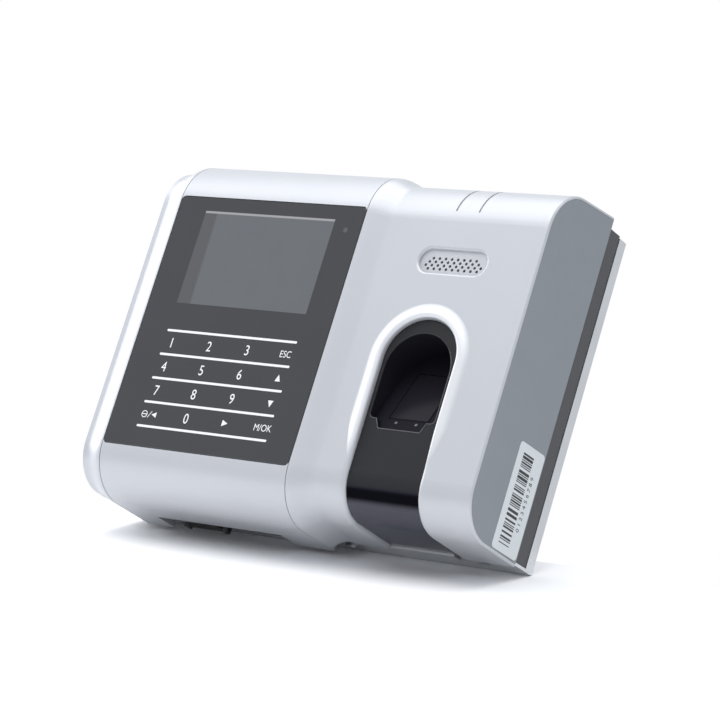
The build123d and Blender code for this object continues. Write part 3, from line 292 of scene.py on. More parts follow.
def well_black():
    """Black moulding: satin on the face, dull in the cavity, polished where it wraps underneath, with a
    band of painted dark reflection just under the crease.
    """
    finish = Finish("well_black")
    up, inwards = finish.axis("Z"), finish.axis("Y")
    polished = finish.step(up, WELL_CREASE_Z + CREASE_SOFT, WELL_CREASE_Z - CREASE_SOFT)
    inside = finish.step(inwards, well_face_y + 0.3 * MM, well_face_y + 1.2 * MM)
    cavity = finish.math("MULTIPLY", inside, finish.step(up, WELL_CREASE_Z, WELL_CREASE_Z + 2 * MM))
    face = finish.blend(finish.noise(2 * MM, 4.0), (0.007, 0.007, 0.009), (0.009, 0.009, 0.012))
    colour = finish.blend(cavity, face, CAVITY_BLACK)
    # painted dark reflection: a band of deeper black, with its shine turned down, just under the crease,
    # standing for the polished skirt mirroring dark surroundings
    painted_dark_reflection = finish.band(up, WELL_CREASE_Z - DARK_REFLECTION_BAND, WELL_CREASE_Z + 0.2 * MM, 2.4 * MM)
    skirt = finish.blend(painted_dark_reflection, (0.014, 0.015, 0.032), (0.002, 0.002, 0.004))
    finish.feed("Base Color", finish.blend(polished, colour, skirt))
    grain = finish.noise(0.3 * MM, 2.0, 0.7)
    rough = finish.math("MULTIPLY_ADD", polished, -0.20, finish.spread(grain, 0.40, 0.48))
    finish.feed("Roughness", finish.math("MULTIPLY_ADD", cavity, 0.12, rough))
    shine = finish.math("MULTIPLY_ADD", polished, 0.25, 0.30)
    shine = finish.math("MULTIPLY_ADD", painted_dark_reflection, -0.53, shine)
    shine = finish.math("MAXIMUM", shine, 0.02)
    finish.feed("Specular IOR Level", finish.math("MULTIPLY_ADD", cavity, -0.27, shine))
    finish.bump(grain, 0.004 * MM, 0.4)
    return finish.material


def sensor_glass():
    """Polished prism over a dark reader, with a faint smear where fingers rest."""
    finish = Finish("sensor_glass")
    smear = finish.noise(3 * MM, 4.0, 0.6, finish.stretched((1.0, 0.5, 0.5)))
    finish.feed("Base Color", finish.blend(smear, CAVITY_BLACK, (0.016, 0.015, 0.019)))
    finish.feed("Roughness", finish.spread(smear, 0.12, 0.26))
    finish.set(specular_ior_level=0.04)
    return finish.material


def bead_edge():
    """Edge of the cavity, with a painted highlight along the foot and the right-hand leg."""
    finish = Finish("bead_edge")
    # painted highlight: the edge is lighter along the right-hand leg and the foot
    right_leg = finish.step(finish.axis("X"), well_x + 11 * MM, well_x + 14 * MM)
    foot = finish.step(finish.axis("Z"), CAVITY_SHOULDER_Z + 2.2 * MM, CAVITY_SHOULDER_Z - 0.8 * MM)
    painted_edge_highlight = finish.math("MAXIMUM", right_leg, foot)
    bright = finish.blend(finish.noise(2 * MM), (0.060, 0.060, 0.068), (0.105, 0.105, 0.115))
    finish.feed("Base Color", finish.blend(painted_edge_highlight, (0.016, 0.016, 0.018), bright))
    finish.bump(finish.noise(0.3 * MM), 0.004 * MM, 0.4)
    finish.set(roughness=0.4, specular_ior_level=0.3)
    return finish.material


def label_paper():
    """White satin paper with its fibres."""
    finish = Finish("label_paper")
    fibres = finish.noise(0.6 * MM, 4.0, 0.7)
    finish.feed("Base Color", finish.blend(fibres, (0.56, 0.60, 0.62), (0.64, 0.67, 0.69)))
    finish.bump(fibres, 0.01 * MM, 0.5)
    finish.set(roughness=0.5)
    return finish.material


def printed_bar():
    """Black thermal print."""
    finish = Finish("printed_bar")
    ink = finish.blend(finish.noise(0.3 * MM), (0.015, 0.015, 0.018), (0.04, 0.04, 0.045))
    finish.feed("Base Color", ink)
    finish.bump(finish.noise(0.2 * MM), 0.002 * MM, 0.5)
    finish.set(roughness=0.55)
    return finish.material


def circuit_board():
    """Green solder mask over copper tracks, with plated dots."""
    finish = Finish("circuit_board")
    where = finish.stretched((1.0, 0.0, 1.0))
    brick = finish.nodes.new("ShaderNodeTexBrick")
    brick.inputs["Scale"].default_value = 1 / (9 * MM)
    brick.inputs["Mortar Size"].default_value = 0.03
    brick.inputs["Brick Width"].default_value = 1.3
    brick.inputs["Row Height"].default_value = 0.14
    turned = finish.stretched((1.0, 1.0, 1.0), (math.radians(90), 0, 0))
    finish.links.new(turned, brick.inputs["Vector"])
    tracks = brick.outputs["Fac"]
    mask = finish.blend(finish.noise(8 * MM), (0.010, 0.085, 0.035), (0.014, 0.110, 0.045))
    copper = finish.blend(finish.spread(tracks, 0.0, 0.55), mask, (0.05, 0.26, 0.10))
    dots = finish.step(finish.cells(3.2 * MM, where=where), 0.16, 0.12)
    finish.feed("Base Color", finish.blend(finish.math("MULTIPLY", dots, 0.8), copper, (0.55, 0.52, 0.42)))
    finish.bump(tracks, 0.02 * MM, 0.5)
    finish.set(roughness=0.32, coat_weight=0.3)
    return finish.material


def ribbon_film():
    """Flexible flat cable: tinned conductors under clear film."""
    finish = Finish("ribbon_film")
    wires = finish.nodes.new("ShaderNodeTexWave")
    wires.bands_direction = "X"
    wires.inputs["Scale"].default_value = 1 / (3.2 * MM)
    finish.links.new(finish.place, wires.inputs["Vector"])
    finish.feed("Base Color", finish.blend(wires.outputs["Fac"], (0.72, 0.70, 0.64), (0.40, 0.38, 0.34)))
    finish.bump(wires.outputs["Fac"], 0.03 * MM, 0.6)
    finish.set(roughness=0.3)
    return finish.material


def speaker_cloth():
    """Black acoustic cloth: plain weave."""
    finish = Finish("speaker_cloth")
    threads = []
    for direction in ("X", "Z"):
        wave = finish.nodes.new("ShaderNodeTexWave")
        wave.bands_direction = direction
        wave.inputs["Scale"].default_value = 1 / (2.0 * MM)
        finish.links.new(finish.place, wave.inputs["Vector"])
        threads.append(wave.outputs["Fac"])
    weave = finish.math("MAXIMUM", *threads)
    finish.feed("Base Color", finish.blend(weave, (0.004, 0.004, 0.004), (0.02, 0.02, 0.021)))
    finish.bump(weave, 0.08 * MM, 0.8)
    finish.set(roughness=0.9)
    return finish.material


def clear_plastic():
    """Clear light pipe with flow lines."""
    finish = Finish("clear_plastic")
    flow = finish.noise(1.5 * MM, 3.0, 0.5, finish.stretched((1, 0.2, 1)))
    finish.feed("Base Color", finish.blend(flow, (0.05, 0.05, 0.055), (0.08, 0.08, 0.085)))
    finish.set(roughness=0.12, specular_ior_level=0.3)
    return finish.material


FINISHES = {
    "silver_paint": silver_paint("silver_paint", False),
    "grey_plastic": moulded("grey_plastic", (0.205, 0.222, 0.246), (0.222, 0.240, 0.264), 0.42),
    "label_paper": label_paper(),
    "dark_glass": panel_print(),
    "black_rubber": moulded("black_rubber", (0.012, 0.012, 0.013), (0.022, 0.022, 0.024), 0.68, 0.25 * MM),
    "display_glass": moulded("display_glass", (0.09, 0.095, 0.105), (0.11, 0.115, 0.125), 0.2),
    "zinc_steel": sheet_metal("zinc_steel", (0.50, 0.51, 0.52), (0.64, 0.65, 0.66), 0.32),
    "circuit_board": circuit_board(),
    "clear_plastic": clear_plastic(),
    "well_black": well_black(),
    "sensor_glass": sensor_glass(),
    "charcoal_plastic": moulded("charcoal_plastic", (0.052, 0.053, 0.057), (0.062, 0.063, 0.068), 0.5),
    "speaker_cloth": speaker_cloth(),
    "screw_steel": sheet_metal("screw_steel", (0.38, 0.38, 0.40), (0.55, 0.55, 0.57), 0.30),
    "capacitor_can": sheet_metal(
        "capacitor_can", (0.58, 0.59, 0.61), (0.68, 0.69, 0.71), 0.28, (0, 0, math.radians(90))
    ),
    "relay_case": moulded("relay_case", (0.010, 0.060, 0.26), (0.014, 0.075, 0.31), 0.3),
    "connector_plastic": moulded("connector_plastic", (0.66, 0.64, 0.58), (0.72, 0.70, 0.65), 0.45),
    "ribbon_film": ribbon_film(),
    "terminal_green": moulded("terminal_green", (0.010, 0.20, 0.075), (0.014, 0.24, 0.09), 0.38),
    "bracket_steel": sheet_metal("bracket_steel", (0.60, 0.61, 0.63), (0.72, 0.73, 0.75), 0.40),
}


def dress(piece, material):
    """Puts a material on every face of a piece."""
    piece.data.materials.clear()
    piece.data.materials.append(material)


for part in frame["record"]["subparts"]:
    node = frame["nodes"][part["node"]]
    if len(node.material_slots) == 0:
        node.data.materials.append(None)
    for holder in node.material_slots:
        holder.material = FINISHES[part["material_slot"]]


# ================================================================ mesh helpers
def add_piece(name, mesh_data, material, body, replaced=()):
    """A finished piece at the origin that rides on a body."""
    piece = bpy.data.objects.new(name, mesh_data)
    SCENE.collection.objects.link(piece)
    dress(piece, material)
    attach(piece, body)
    if replaced:
        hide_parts(*replaced)
    return piece


def solid(name, build):
    """Mesh made by build(bmesh), with its doubles merged and its faces turned outwards."""
    work = bmesh.new()
    build(work)
    bmesh.ops.remove_doubles(work, verts=work.verts, dist=1e-7)
    bmesh.ops.recalc_face_normals(work, faces=work.faces)
    data = bpy.data.meshes.new(name)
    work.to_mesh(data)
    work.free()
    return data


def smoothed(data, angle):
    """Smooth shading, with edges sharper than angle degrees kept crisp."""
    data.shade_smooth()
    data.set_sharp_from_angle(angle=math.radians(angle))
    return data


def raise_outline(work, outline, to_world, thickness):
    """A flat printed shape: outline points in the drawing plane, raised by thickness."""
    low = [work.verts.new(to_world(u, v, 0.0)) for u, v in outline]
    high = [work.verts.new(to_world(u, v, thickness)) for u, v in outline]
    work.faces.new(low)
    work.faces.new(high[::-1])
    count = len(outline)
    for i in range(count):
        j = (i + 1) % count
        work.faces.new((low[j], low[i], high[i], high[j]))


def arc(middle, radius, start, end, steps):
    """Points on an arc, angles in degrees."""
    turns = [math.radians(start + (end - start) * i / steps) for i in range(steps + 1)]
    return [(middle[0] + radius * math.cos(t), middle[1] + radius * math.sin(t)) for t in turns]


# ================================================================ legends on the glass
INK = 0.03 * MM
KEY_LEFT = -66.6 * MM
KEY_RIGHT = -1.9 * MM
KEY_TOP = -4.3 * MM
KEY_PITCH = 10.0 * MM
KEY_ROWS = 4
LEGEND_DROP = 0.51         # a legend's middle, below its line, as a share of the pitch
LINE_THICKNESS = 0.95 * MM
COLUMN_X = [-62.4 * MM, -43.4 * MM, -24.4 * MM, -5.6 * MM]
DIGIT_HEIGHT = 4.1 * MM
WORD_HEIGHT = 2.75 * MM
LETTER_WIDTH = 0.86        # the legends are this much narrower than the plain font
ARROW = 2.7 * MM
ARROW_REACH = 0.62         # middle of an arrow to its corners, as a share of its size
CAP_SHARE = 0.7            # height of a capital in the plain font, as a share of its size


def on_glass(u, v, out):
    """Point on the glass's front, moved out towards the viewer."""
    return Vector((u, glass_y - out, v))


def key_line(work, z):
    """One of the lines between the key rows, with round ends."""
    half = LINE_THICKNESS / 2
    outline = arc((KEY_RIGHT - half, z), half, -90, 90, 8) + arc((KEY_LEFT + half, z), half, 90, 270, 8)
    raise_outline(work, outline, on_glass, INK)


def arrow(work, x, z, heading, size=ARROW):
    """Solid triangle that points along heading, in degrees from +X."""
    outline = []
    reach = size * ARROW_REACH
    for turn in (0, 130, 230):
        angle = math.radians(heading + turn)
        outline.append((x + reach * math.cos(angle), z + reach * math.sin(angle)))
    raise_outline(work, outline, on_glass, INK)


def slash(work, x, z, height):
    """Thin leaning stroke between two signs."""
    lean, thin = 0.30 * height, 0.16 * MM
    outline = [(x - lean - thin, z - height / 2), (x - lean + thin, z - height / 2),
               (x + lean + thin, z + height / 2), (x + lean - thin, z + height / 2)]
    raise_outline(work, outline, on_glass, INK)


def dial_sign(work, x, z, radius):
    """Ring with a bar across: the input-method key."""
    thin = 0.32 * MM
    for start in (0, 90, 180, 270):
        outline = arc((x, z), radius, start, start + 90, 6)
        outline += arc((x, z), radius - thin, start + 90, start, 6)
        raise_outline(work, outline, on_glass, INK)
    inner = radius - thin
    bar = [(x - inner, z - thin / 2), (x + inner, z - thin / 2),
           (x + inner, z + thin / 2), (x - inner, z + thin / 2)]
    raise_outline(work, bar, on_glass, INK)


def words(text, height, width_share, place, name):
    """Raised lettering in the plain font. place turns drawing coordinates into the frame's."""
    curve = bpy.data.curves.new(name, "FONT")
    curve.body = text
    curve.size = height / CAP_SHARE
    curve.align_x = "CENTER"
    curve.align_y = "CENTER"
    curve.extrude = INK / 2
    curve.resolution_u = 6
    holder = bpy.data.objects.new(name, curve)
    SCENE.collection.objects.link(holder)
    bpy.context.view_layer.update()
    data = bpy.data.meshes.new_from_object(holder.evaluated_get(bpy.context.evaluated_depsgraph_get()))
    bpy.data.objects.remove(holder)
    bpy.data.curves.remove(curve)
    high = max(v.co.y for v in data.vertices)
    low = min(v.co.y for v in data.vertices)
    for vertex in data.vertices:
        u, v, w = vertex.co
        vertex.co = place(u * width_share, v - (high + low) / 2, w + INK / 2)
    return data


def key_words(text, height, x, z):
    """Lettering on the glass round a point."""
    return words(text, height, LETTER_WIDTH, lambda u, v, w: on_glass(x + u, z + v, w), "key_words")


def key_legends():
    """Digits, arrows and words of the sixteen keys, and the five lines between the rows."""
    parts = []
    rows = [KEY_TOP - KEY_PITCH * (row + LEGEND_DROP) for row in range(KEY_ROWS)]

    def signs(work):
        for line in range(KEY_ROWS + 1):
            key_line(work, KEY_TOP - KEY_PITCH * line)
        arrow(work, COLUMN_X[3], rows[1], 90)
        arrow(work, COLUMN_X[3], rows[2], -90)
        arrow(work, COLUMN_X[2], rows[3], 0)
        arrow(work, COLUMN_X[0] + 2.9 * MM, rows[3], 180, ARROW * 0.85)
        slash(work, COLUMN_X[0] + 0.5 * MM, rows[3], WORD_HEIGHT)
        dial_sign(work, COLUMN_X[0] - 2.1 * MM, rows[3], 1.45 * MM)

    parts.append(solid("key_signs", signs))
    faces = [("1", 0, 0), ("2", 1, 0), ("3", 2, 0), ("4", 0, 1), ("5", 1, 1), ("6", 2, 1),
             ("7", 0, 2), ("8", 1, 2), ("9", 2, 2), ("0", 1, 3)]
    for text, column, row in faces:
        parts.append(key_words(text, DIGIT_HEIGHT, COLUMN_X[column], rows[row]))
    for text, row in (("ESC", 0), ("M/OK", 3)):
        parts.append(key_words(text, WORD_HEIGHT, COLUMN_X[3], rows[row]))
    return parts


def join(name, parts):
    """One mesh from several."""
    work = bmesh.new()
    for part in parts:
        work.from_mesh(part)
        bpy.data.meshes.remove(part)
    data = bpy.data.meshes.new(name)
    work.to_mesh(data)
    work.free()
    return data


INK_WHITE = legend_ink()
add_piece("key_legends", join("key_legends", key_legends()), INK_WHITE, "terminal")


# ================================================================ label on the side
BAR_SEED = 7
BAR_UNIT = 0.36 * MM
BAR_MARGIN = 3.4 * MM
BAR_DEPTH = 7.2 * MM
BAR_FRONT = 3.6 * MM
DIGIT_ROW = 4.7 * MM
LABEL_DIGIT_HEIGHT = 2.0 * MM


def on_label(u, v, out):
    """Point on the label: depth, height and distance out from its face."""
    return Vector((label_high.x + out, u, v))


def label_bars():
    """A made-up bar pattern: bars and gaps of one to three units."""
    chance = random.Random(BAR_SEED)

    def bars(work):
        z = label_high.z - BAR_MARGIN
        front = label_low.y + BAR_FRONT
        while z > label_low.z + BAR_MARGIN:
            thick = BAR_UNIT * chance.choice((1, 1, 2, 3))
            bar = [(front, z), (front, z - thick), (front + BAR_DEPTH, z - thick), (front + BAR_DEPTH, z)]
            raise_outline(work, bar, on_label, INK)
            z -= thick + BAR_UNIT * chance.choice((1, 1, 2, 3))

    return solid("label_bars", bars)


def label_digits():
    """A plain row of digits beside the bars, read from the bottom up."""
    middle_z = (label_low.z + label_high.z) / 2
    row_y = label_low.y + BAR_FRONT + BAR_DEPTH + DIGIT_ROW / 2
    return words("0 1 2 3 4 5 6 7 8 9", LABEL_DIGIT_HEIGHT, 1.0,
                 lambda u, v, w: on_label(row_y - v, middle_z + u, w), "label_digits")


add_piece("label_print", join("label_print", [label_bars(), label_digits()]), printed_bar(),
          "terminal")


# ================================================================ bead round the finger cavity
BEAD_RADIUS = 0.22 * MM
CAVITY_RADIUS = 14.9 * MM
CAVITY_ARCH_Z = -9.3 * MM
CAVITY_SHOULDER_Z = -29.2 * MM
CAVITY_SHOULDER_ROUND = 2.0 * MM
CAVITY_FOOT_HALF = 11.4 * MM
CAVITY_FOOT_SLANT = 1.4 * MM
CAVITY_FOOT_ROUND = 1.0 * MM
CAVITY_FOOT_Z = -33.0 * MM


def tube_tree():
    """Geometry Nodes tree that turns the piece's wire into a round bead."""
    tree = bpy.data.node_groups.new("bead_tube", "GeometryNodeTree")
    tree.interface.new_socket("Geometry", in_out="INPUT", socket_type="NodeSocketGeometry")
    tree.interface.new_socket("Bead radius", in_out="INPUT", socket_type="NodeSocketFloat")
    tree.interface.new_socket("Finish", in_out="INPUT", socket_type="NodeSocketMaterial")
    tree.interface.new_socket("Geometry", in_out="OUTPUT", socket_type="NodeSocketGeometry")
    inputs = tree.nodes.new("NodeGroupInput")
    outputs = tree.nodes.new("NodeGroupOutput")
    path = tree.nodes.new("GeometryNodeMeshToCurve")
    ring = tree.nodes.new("GeometryNodeCurvePrimitiveCircle")
    ring.inputs["Resolution"].default_value = 10
    tube = tree.nodes.new("GeometryNodeCurveToMesh")
    realize = tree.nodes.new("GeometryNodeRealizeInstances")
    paint = tree.nodes.new("GeometryNodeSetMaterial")
    link = tree.links.new
    link(inputs.outputs["Geometry"], path.inputs["Mesh"])
    link(path.outputs["Curve"], tube.inputs["Curve"])
    link(inputs.outputs["Bead radius"], ring.inputs["Radius"])
    link(ring.outputs["Curve"], tube.inputs["Profile Curve"])
    link(tube.outputs["Mesh"], realize.inputs["Geometry"])
    link(realize.outputs["Geometry"], paint.inputs["Geometry"])
    link(inputs.outputs["Finish"], paint.inputs["Material"])
    link(paint.outputs["Geometry"], outputs.inputs["Geometry"])
    return tree


def grow(name, base, tree, values):
    """Runs a Geometry Nodes tree on a base mesh and returns the result as a plain mesh."""
    holder = bpy.data.objects.new(name, base)
    SCENE.collection.objects.link(holder)
    modifier = holder.modifiers.new("grow", "NODES")
    modifier.node_group = tree
    for item in tree.interface.items_tree:
        if item.in_out == "INPUT" and item.name in values:
            modifier[item.identifier] = values[item.name]
    bpy.context.view_layer.update()
    result = bpy.data.meshes.new_from_object(holder.evaluated_get(bpy.context.evaluated_depsgraph_get()))
    holder.modifiers.clear()
    bpy.data.objects.remove(holder)
    return result


def cavity_half():
    """Right half of the cavity's edge, from the top of the arch to the middle of the foot."""
    shoulder, foot = CAVITY_SHOULDER_ROUND, CAVITY_FOOT_ROUND
    half = arc((0, CAVITY_ARCH_Z), CAVITY_RADIUS, 90, 0, 16)
    half += arc((CAVITY_RADIUS - shoulder, CAVITY_SHOULDER_Z + shoulder), shoulder, 0, -90, 5)
    half.append((CAVITY_FOOT_HALF, CAVITY_SHOULDER_Z))
    foot_end = CAVITY_FOOT_HALF - CAVITY_FOOT_SLANT
    half += arc((foot_end - foot, CAVITY_FOOT_Z + foot), foot, 0, -90, 5)
    return half


def cavity_bead():
    """Bead on the edge between the insert's face and the cavity."""
    half = cavity_half()
    outline = [(well_x + x, z) for x, z in half] + [(well_x - x, z) for x, z in half[:0:-1]]
    points = [(x, well_face_y + BEAD_RADIUS * 0.4, z) for x, z in outline]
    edges = [(i, (i + 1) % len(points)) for i in range(len(points))]
    base = bpy.data.meshes.new("cavity_edge")
    base.from_pydata(points, edges, [])
    finish = bead_edge()
    data = grow("cavity_bead", base, tube_tree(), {"Bead radius": BEAD_RADIUS, "Finish": finish})
    data.shade_smooth()
    return data, finish


bead_mesh, bead_finish = cavity_bead()
add_piece("cavity_bead", bead_mesh, bead_finish, "terminal")


# ================================================================ lip round the finger well
SLOT_RADIUS = 16.4 * MM
SLOT_ARCH_Z = -5.4 * MM
LIP_REACH = 6.4 * MM        # from the slot's wall to where the lip dies into the shell
LIP_CREST = 1.5 * MM
LIP_HEIGHT = 0.85 * MM
LIP_ROOT = 1.5 * MM         # below the shell's face, where the lip meets the insert
LIP_SINK = 1.1 * MM
LIP_TUCK = 0.03 * MM        # its outer edge ends this far under the shell's face
LIP_RISE_STEPS = 8
LIP_FALL_STEPS = 14
LIP_FADE_START = -30 * MM
LIP_FADE_END = -52 * MM


def lip_profile():
    """Closed section: distance out from the slot's wall, and height over the shell's face."""
    section = []
    for step in range(LIP_RISE_STEPS + 1):
        turn = math.radians(90 * step / LIP_RISE_STEPS)
        height = (LIP_ROOT + LIP_HEIGHT) * math.sin(turn) - LIP_ROOT
        section.append((LIP_CREST * (1 - math.cos(turn)), height))
    for step in range(1, LIP_FALL_STEPS + 1):
        share = step / LIP_FALL_STEPS
        height = LIP_HEIGHT * (1 + math.cos(math.pi * share)) / 2 - LIP_TUCK * share
        section.append((LIP_CREST + (LIP_REACH - LIP_CREST) * share, height))
    section.append((LIP_REACH * 0.6, -LIP_ROOT))
    return section


def lip_stations():
    """Stations up the left leg, over the arch and down the right leg: place and outward direction."""
    heights = [LIP_FADE_END + (SLOT_ARCH_Z - LIP_FADE_END) * i / 24 for i in range(24)]
    stations = [((-SLOT_RADIUS, z), (-1, 0)) for z in heights]
    for x, z in arc((0, 0), 1, 180, 0, 48):
        stations.append(((SLOT_RADIUS * x, SLOT_ARCH_Z + SLOT_RADIUS * z), (x, z)))
    stations += [((SLOT_RADIUS, z), (1, 0)) for z in reversed(heights)]
    return stations


def well_lip():
    """Rounded lip that stands proud of the shell round the arch and sinks into it down the legs."""
    def sweep(work):
        rings = []
        for (x, z), (out_x, out_z) in lip_stations():
            share = min(1.0, max(0.0, (z - LIP_FADE_END) / (LIP_FADE_START - LIP_FADE_END)))
            sink = LIP_SINK * (1 - share * share * (3 - 2 * share))
            rings.append([
                work.verts.new((well_x + x + out_x * s, right_face_y - h + sink, z + out_z * s))
                for s, h in lip_profile()
            ])
        for ring, following in zip(rings, rings[1:]):
            for i in range(len(ring)):
                j = (i + 1) % len(ring)
                work.faces.new((ring[i], ring[j], following[j], following[i]))
        work.faces.new(rings[0])
        work.faces.new(rings[-1][::-1])

    return smoothed(solid("well_lip", sweep), 50)


# the lip's paint carries the painted highlight on its crest
add_piece("well_lip", well_lip(), silver_paint("lip_paint", True), "terminal")


# ================================================================ screws
REAR_HEAD_HEIGHT = 2.0 * MM
REAR_SHANK_RADIUS = 1.45 * MM
BOARD_HEAD_HEIGHT = 1.15 * MM
BOARD_SHANK_RADIUS = 1.2 * MM
RECESS_SHARE = 0.13        # width of one arm of the cross, as a share of the head's diameter


def solids_of(node_name):
    """Lowest and highest corner of each separate solid in a CAD node."""
    work = bmesh.new()
    work.from_mesh(frame["nodes"][node_name].data)
    bmesh.ops.remove_doubles(work, verts=work.verts, dist=1e-6)
    work.verts.index_update()
    seen, boxes = set(), []
    for start in work.verts:
        if start.index in seen:
            continue
        seen.add(start.index)
        queue, reached = [start], []
        while queue:
            vertex = queue.pop()
            reached.append(vertex.co.copy())
            for edge in vertex.link_edges:
                other = edge.other_vert(vertex)
                if other.index not in seen:
                    seen.add(other.index)
                    queue.append(other)
        low = Vector(min(point[i] for point in reached) for i in range(3))
        high = Vector(max(point[i] for point in reached) for i in range(3))
        boxes.append((low, high))
    work.free()
    return boxes


def screw_tree():
    """Geometry Nodes tree: a cross-recessed pan-head screw on each point, head along local Z."""
    tree = bpy.data.node_groups.new("screw", "GeometryNodeTree")
    socket = tree.interface.new_socket
    socket("Points", in_out="INPUT", socket_type="NodeSocketGeometry")
    for name in ("Head radius", "Head height", "Shank radius", "Length", "Recess width"):
        socket(name, in_out="INPUT", socket_type="NodeSocketFloat")
    socket("Turn", in_out="INPUT", socket_type="NodeSocketVector")
    socket("Finish", in_out="INPUT", socket_type="NodeSocketMaterial")
    socket("Geometry", in_out="OUTPUT", socket_type="NodeSocketGeometry")
    size = tree.nodes.new("NodeGroupInput").outputs
    link = tree.links.new

    def times(value, factor):
        node = tree.nodes.new("ShaderNodeMath")
        node.operation = "MULTIPLY"
        link(value, node.inputs[0])
        node.inputs[1].default_value = factor
        return node.outputs[0]

    def raised(mesh, height):
        move = tree.nodes.new("GeometryNodeTransform")
        offset = tree.nodes.new("ShaderNodeCombineXYZ")
        link(height, offset.inputs["Z"])
        link(mesh, move.inputs["Geometry"])
        link(offset.outputs["Vector"], move.inputs["Translation"])
        return move.outputs["Geometry"]

    def drum(radius_low, radius_high, depth, vertices):
        cone = tree.nodes.new("GeometryNodeMeshCone")
        cone.inputs["Vertices"].default_value = vertices
        link(radius_low, cone.inputs["Radius Bottom"])
        link(radius_high, cone.inputs["Radius Top"])
        link(depth, cone.inputs["Depth"])
        return cone.outputs["Mesh"]

    def slab(across, along, tall):
        cube = tree.nodes.new("GeometryNodeMeshCube")
        sides = tree.nodes.new("ShaderNodeCombineXYZ")
        for axis, value in zip("XYZ", (across, along, tall)):
            link(value, sides.inputs[axis])
        link(sides.outputs["Vector"], cube.inputs["Size"])
        return cube.outputs["Mesh"]

    def combine(operation, first, others):
        node = tree.nodes.new("GeometryNodeMeshBoolean")
        node.operation = operation
        node.solver = "EXACT"
        if operation == "DIFFERENCE":
            link(first, node.inputs["Mesh 1"])
        else:
            others = [first, *others]
        for other in others:
            link(other, node.inputs["Mesh 2"])
        return node.outputs["Mesh"]

    radius, height = size["Head radius"], size["Head height"]
    lower = drum(radius, radius, times(height, 0.45), 36)
    upper = raised(drum(radius, times(radius, 0.72), times(height, 0.60), 36), times(height, 0.40))
    shank = raised(
        drum(times(size["Shank radius"], 0.7), size["Shank radius"], times(size["Length"], 1.05), 24),
        times(size["Length"], -1.0),
    )
    body = combine("UNION", lower, [upper, shank])
    arm = times(radius, 1.05)
    deep = times(height, 0.9)
    cross = [
        raised(slab(arm, size["Recess width"], deep), height),
        raised(slab(size["Recess width"], arm, deep), height),
    ]
    screw = combine("DIFFERENCE", body, cross)
    place = tree.nodes.new("GeometryNodeInstanceOnPoints")
    link(size["Points"], place.inputs["Points"])
    link(screw, place.inputs["Instance"])
    link(size["Turn"], place.inputs["Rotation"])
    realize = tree.nodes.new("GeometryNodeRealizeInstances")
    paint = tree.nodes.new("GeometryNodeSetMaterial")
    link(place.outputs["Instances"], realize.inputs["Geometry"])
    link(realize.outputs["Geometry"], paint.inputs["Geometry"])
    link(size["Finish"], paint.inputs["Material"])
    link(paint.outputs["Geometry"], tree.nodes.new("NodeGroupOutput").inputs["Geometry"])
    return tree


def screws(name, node_name, tree, head_height, shank_radius, faces_back):
    """Real screws in place of a CAD node's plain ones, heads towards the wall or the front."""
    boxes = solids_of(node_name)
    low, high = boxes[0]
    points = []
    for corner_low, corner_high in boxes:
        seat = corner_high.y - head_height if faces_back else corner_low.y + head_height
        points.append(((corner_low.x + corner_high.x) / 2, seat, (corner_low.z + corner_high.z) / 2))
    base = bpy.data.meshes.new(name)
    base.from_pydata(points, [], [])
    data = grow(name, base, tree, {
        "Head radius": (high.x - low.x) / 2,
        "Head height": head_height,
        "Shank radius": shank_radius,
        "Length": high.y - low.y - head_height,
        "Recess width": (high.x - low.x) * RECESS_SHARE,
        "Turn": (math.radians(-90 if faces_back else 90), 0.0, 0.0),
        "Finish": FINISHES["screw_steel"],
    })
    add_piece(name, smoothed(data, 35), FINISHES["screw_steel"], "terminal", [node_name])


SCREW = screw_tree()
screws("rear_screw_set", "rear_screws", SCREW, REAR_HEAD_HEIGHT, REAR_SHANK_RADIUS, True)
screws("board_screw_set", "board_screws", SCREW, BOARD_HEAD_HEIGHT, BOARD_SHANK_RADIUS, False)


# ================================================================ studio
# The clock is shown leaning back on a pale floor, so the floor and the lights follow that upright.
LEAN = math.radians(27.96)
UPRIGHT = Vector((0.0, -math.sin(LEAN), math.cos(LEAN)))
FLOOR_BACK = 20 * MM
FLOOR_FRONT = -700 * MM
FLOOR_HALF = 900 * MM
ROOM_STRENGTH = 0.85
ROOM_COLOUR = (0.93, 0.96, 1.0, 1.0)
VIEW_AROUND = 37.191       # degrees to the right of the clock's front, along the floor
VIEW_ABOVE = 7.669         # degrees above the floor
VIEW_DISTANCE = 1.15
VIEW_CENTRE = Vector((10.534, -31.155, -0.656)) * MM
LENS = 150.25


def pale_floor():
    """Matt white board under the clock."""
    finish = Finish("pale_floor")
    board = finish.blend(finish.noise(60 * MM, 2.0), (0.90, 0.90, 0.91), (0.93, 0.93, 0.94))
    finish.feed("Base Color", board)
    finish.set(roughness=0.9)
    return finish.material


def make_floor():
    """Level board that meets the clock's lowest point."""
    drop = min(UPRIGHT.dot(v.co) for node in frame["nodes"].values() for v in node.data.vertices)
    data = bpy.data.meshes.new("floor")
    corners = []
    for x, y in ((-FLOOR_HALF, FLOOR_FRONT), (FLOOR_HALF, FLOOR_FRONT), (FLOOR_HALF, FLOOR_BACK),
                 (-FLOOR_HALF, FLOOR_BACK)):
        corners.append((x, y, (drop - UPRIGHT.y * y) / UPRIGHT.z))
    data.from_pydata(corners, [], [(0, 1, 2, 3)])
    floor = bpy.data.objects.new("floor", data)
    SCENE.collection.objects.link(floor)
    dress(floor, pale_floor())


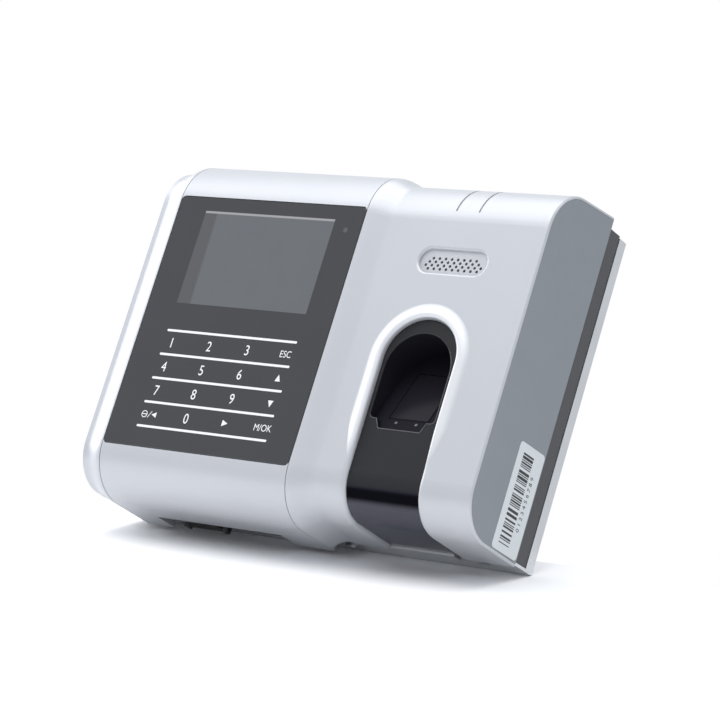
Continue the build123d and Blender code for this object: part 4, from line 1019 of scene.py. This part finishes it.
def make_camera():
    """Looks down at the clock from its right, upright on the floor."""
    around, above = math.radians(VIEW_AROUND), math.radians(VIEW_ABOVE)
    ahead = Vector((0.0, -math.cos(LEAN), -math.sin(LEAN)))
    level = Vector((1.0, 0.0, 0.0)) * math.sin(around) + ahead * math.cos(around)
    back = level * math.cos(above) + UPRIGHT * math.sin(above)
    data = bpy.data.cameras.new("camera")
    data.lens = LENS
    data.sensor_width = 36.0
    data.clip_start = 0.05
    data.clip_end = 20.0
    camera = bpy.data.objects.new("camera", data)
    SCENE.collection.objects.link(camera)
    right = UPRIGHT.cross(back).normalized()
    turn = Matrix((right, back.cross(right), back)).transposed()
    camera.matrix_world = Matrix.Translation(VIEW_CENTRE + back * VIEW_DISTANCE) @ turn.to_4x4()
    SCENE.camera = camera


def make_light(name, size, power, where):
    """Square soft box that faces the clock."""
    data = bpy.data.lights.new(name, "AREA")
    data.shape = "SQUARE"
    data.size = size
    data.energy = power
    lamp = bpy.data.objects.new(name, data)
    SCENE.collection.objects.link(lamp)
    lamp.location = where
    lamp.rotation_mode = "QUATERNION"
    lamp.rotation_quaternion = (-where).to_track_quat("-Z", "Y")


def make_world():
    """White studio: the eye sees white paper, and the room that lights the clock is dimmer."""
    world = bpy.data.worlds.new("studio")
    SCENE.world = world
    world.use_nodes = True
    nodes, links = world.node_tree.nodes, world.node_tree.links
    room = nodes["Background"]
    room.inputs["Color"].default_value = ROOM_COLOUR
    room.inputs["Strength"].default_value = ROOM_STRENGTH
    paper = nodes.new("ShaderNodeBackground")
    paper.inputs["Color"].default_value = (1.0, 1.0, 1.0, 1.0)
    path = nodes.new("ShaderNodeLightPath")
    choose = nodes.new("ShaderNodeMixShader")
    links.new(path.outputs["Is Camera Ray"], choose.inputs[0])
    links.new(room.outputs[0], choose.inputs[1])
    links.new(paper.outputs[0], choose.inputs[2])
    links.new(choose.outputs[0], nodes["World Output"].inputs["Surface"])


make_floor()
make_camera()
make_world()
make_light("overhead", 1.7, 18.0, Vector((-0.1, 0.0, 0.0)) + UPRIGHT * 1.3)
make_light("left_side", 1.0, 9.0, Vector((-1.25, 0.0, 0.05)) + UPRIGHT * 0.45)
SCENE.view_settings.view_transform = "Standard"
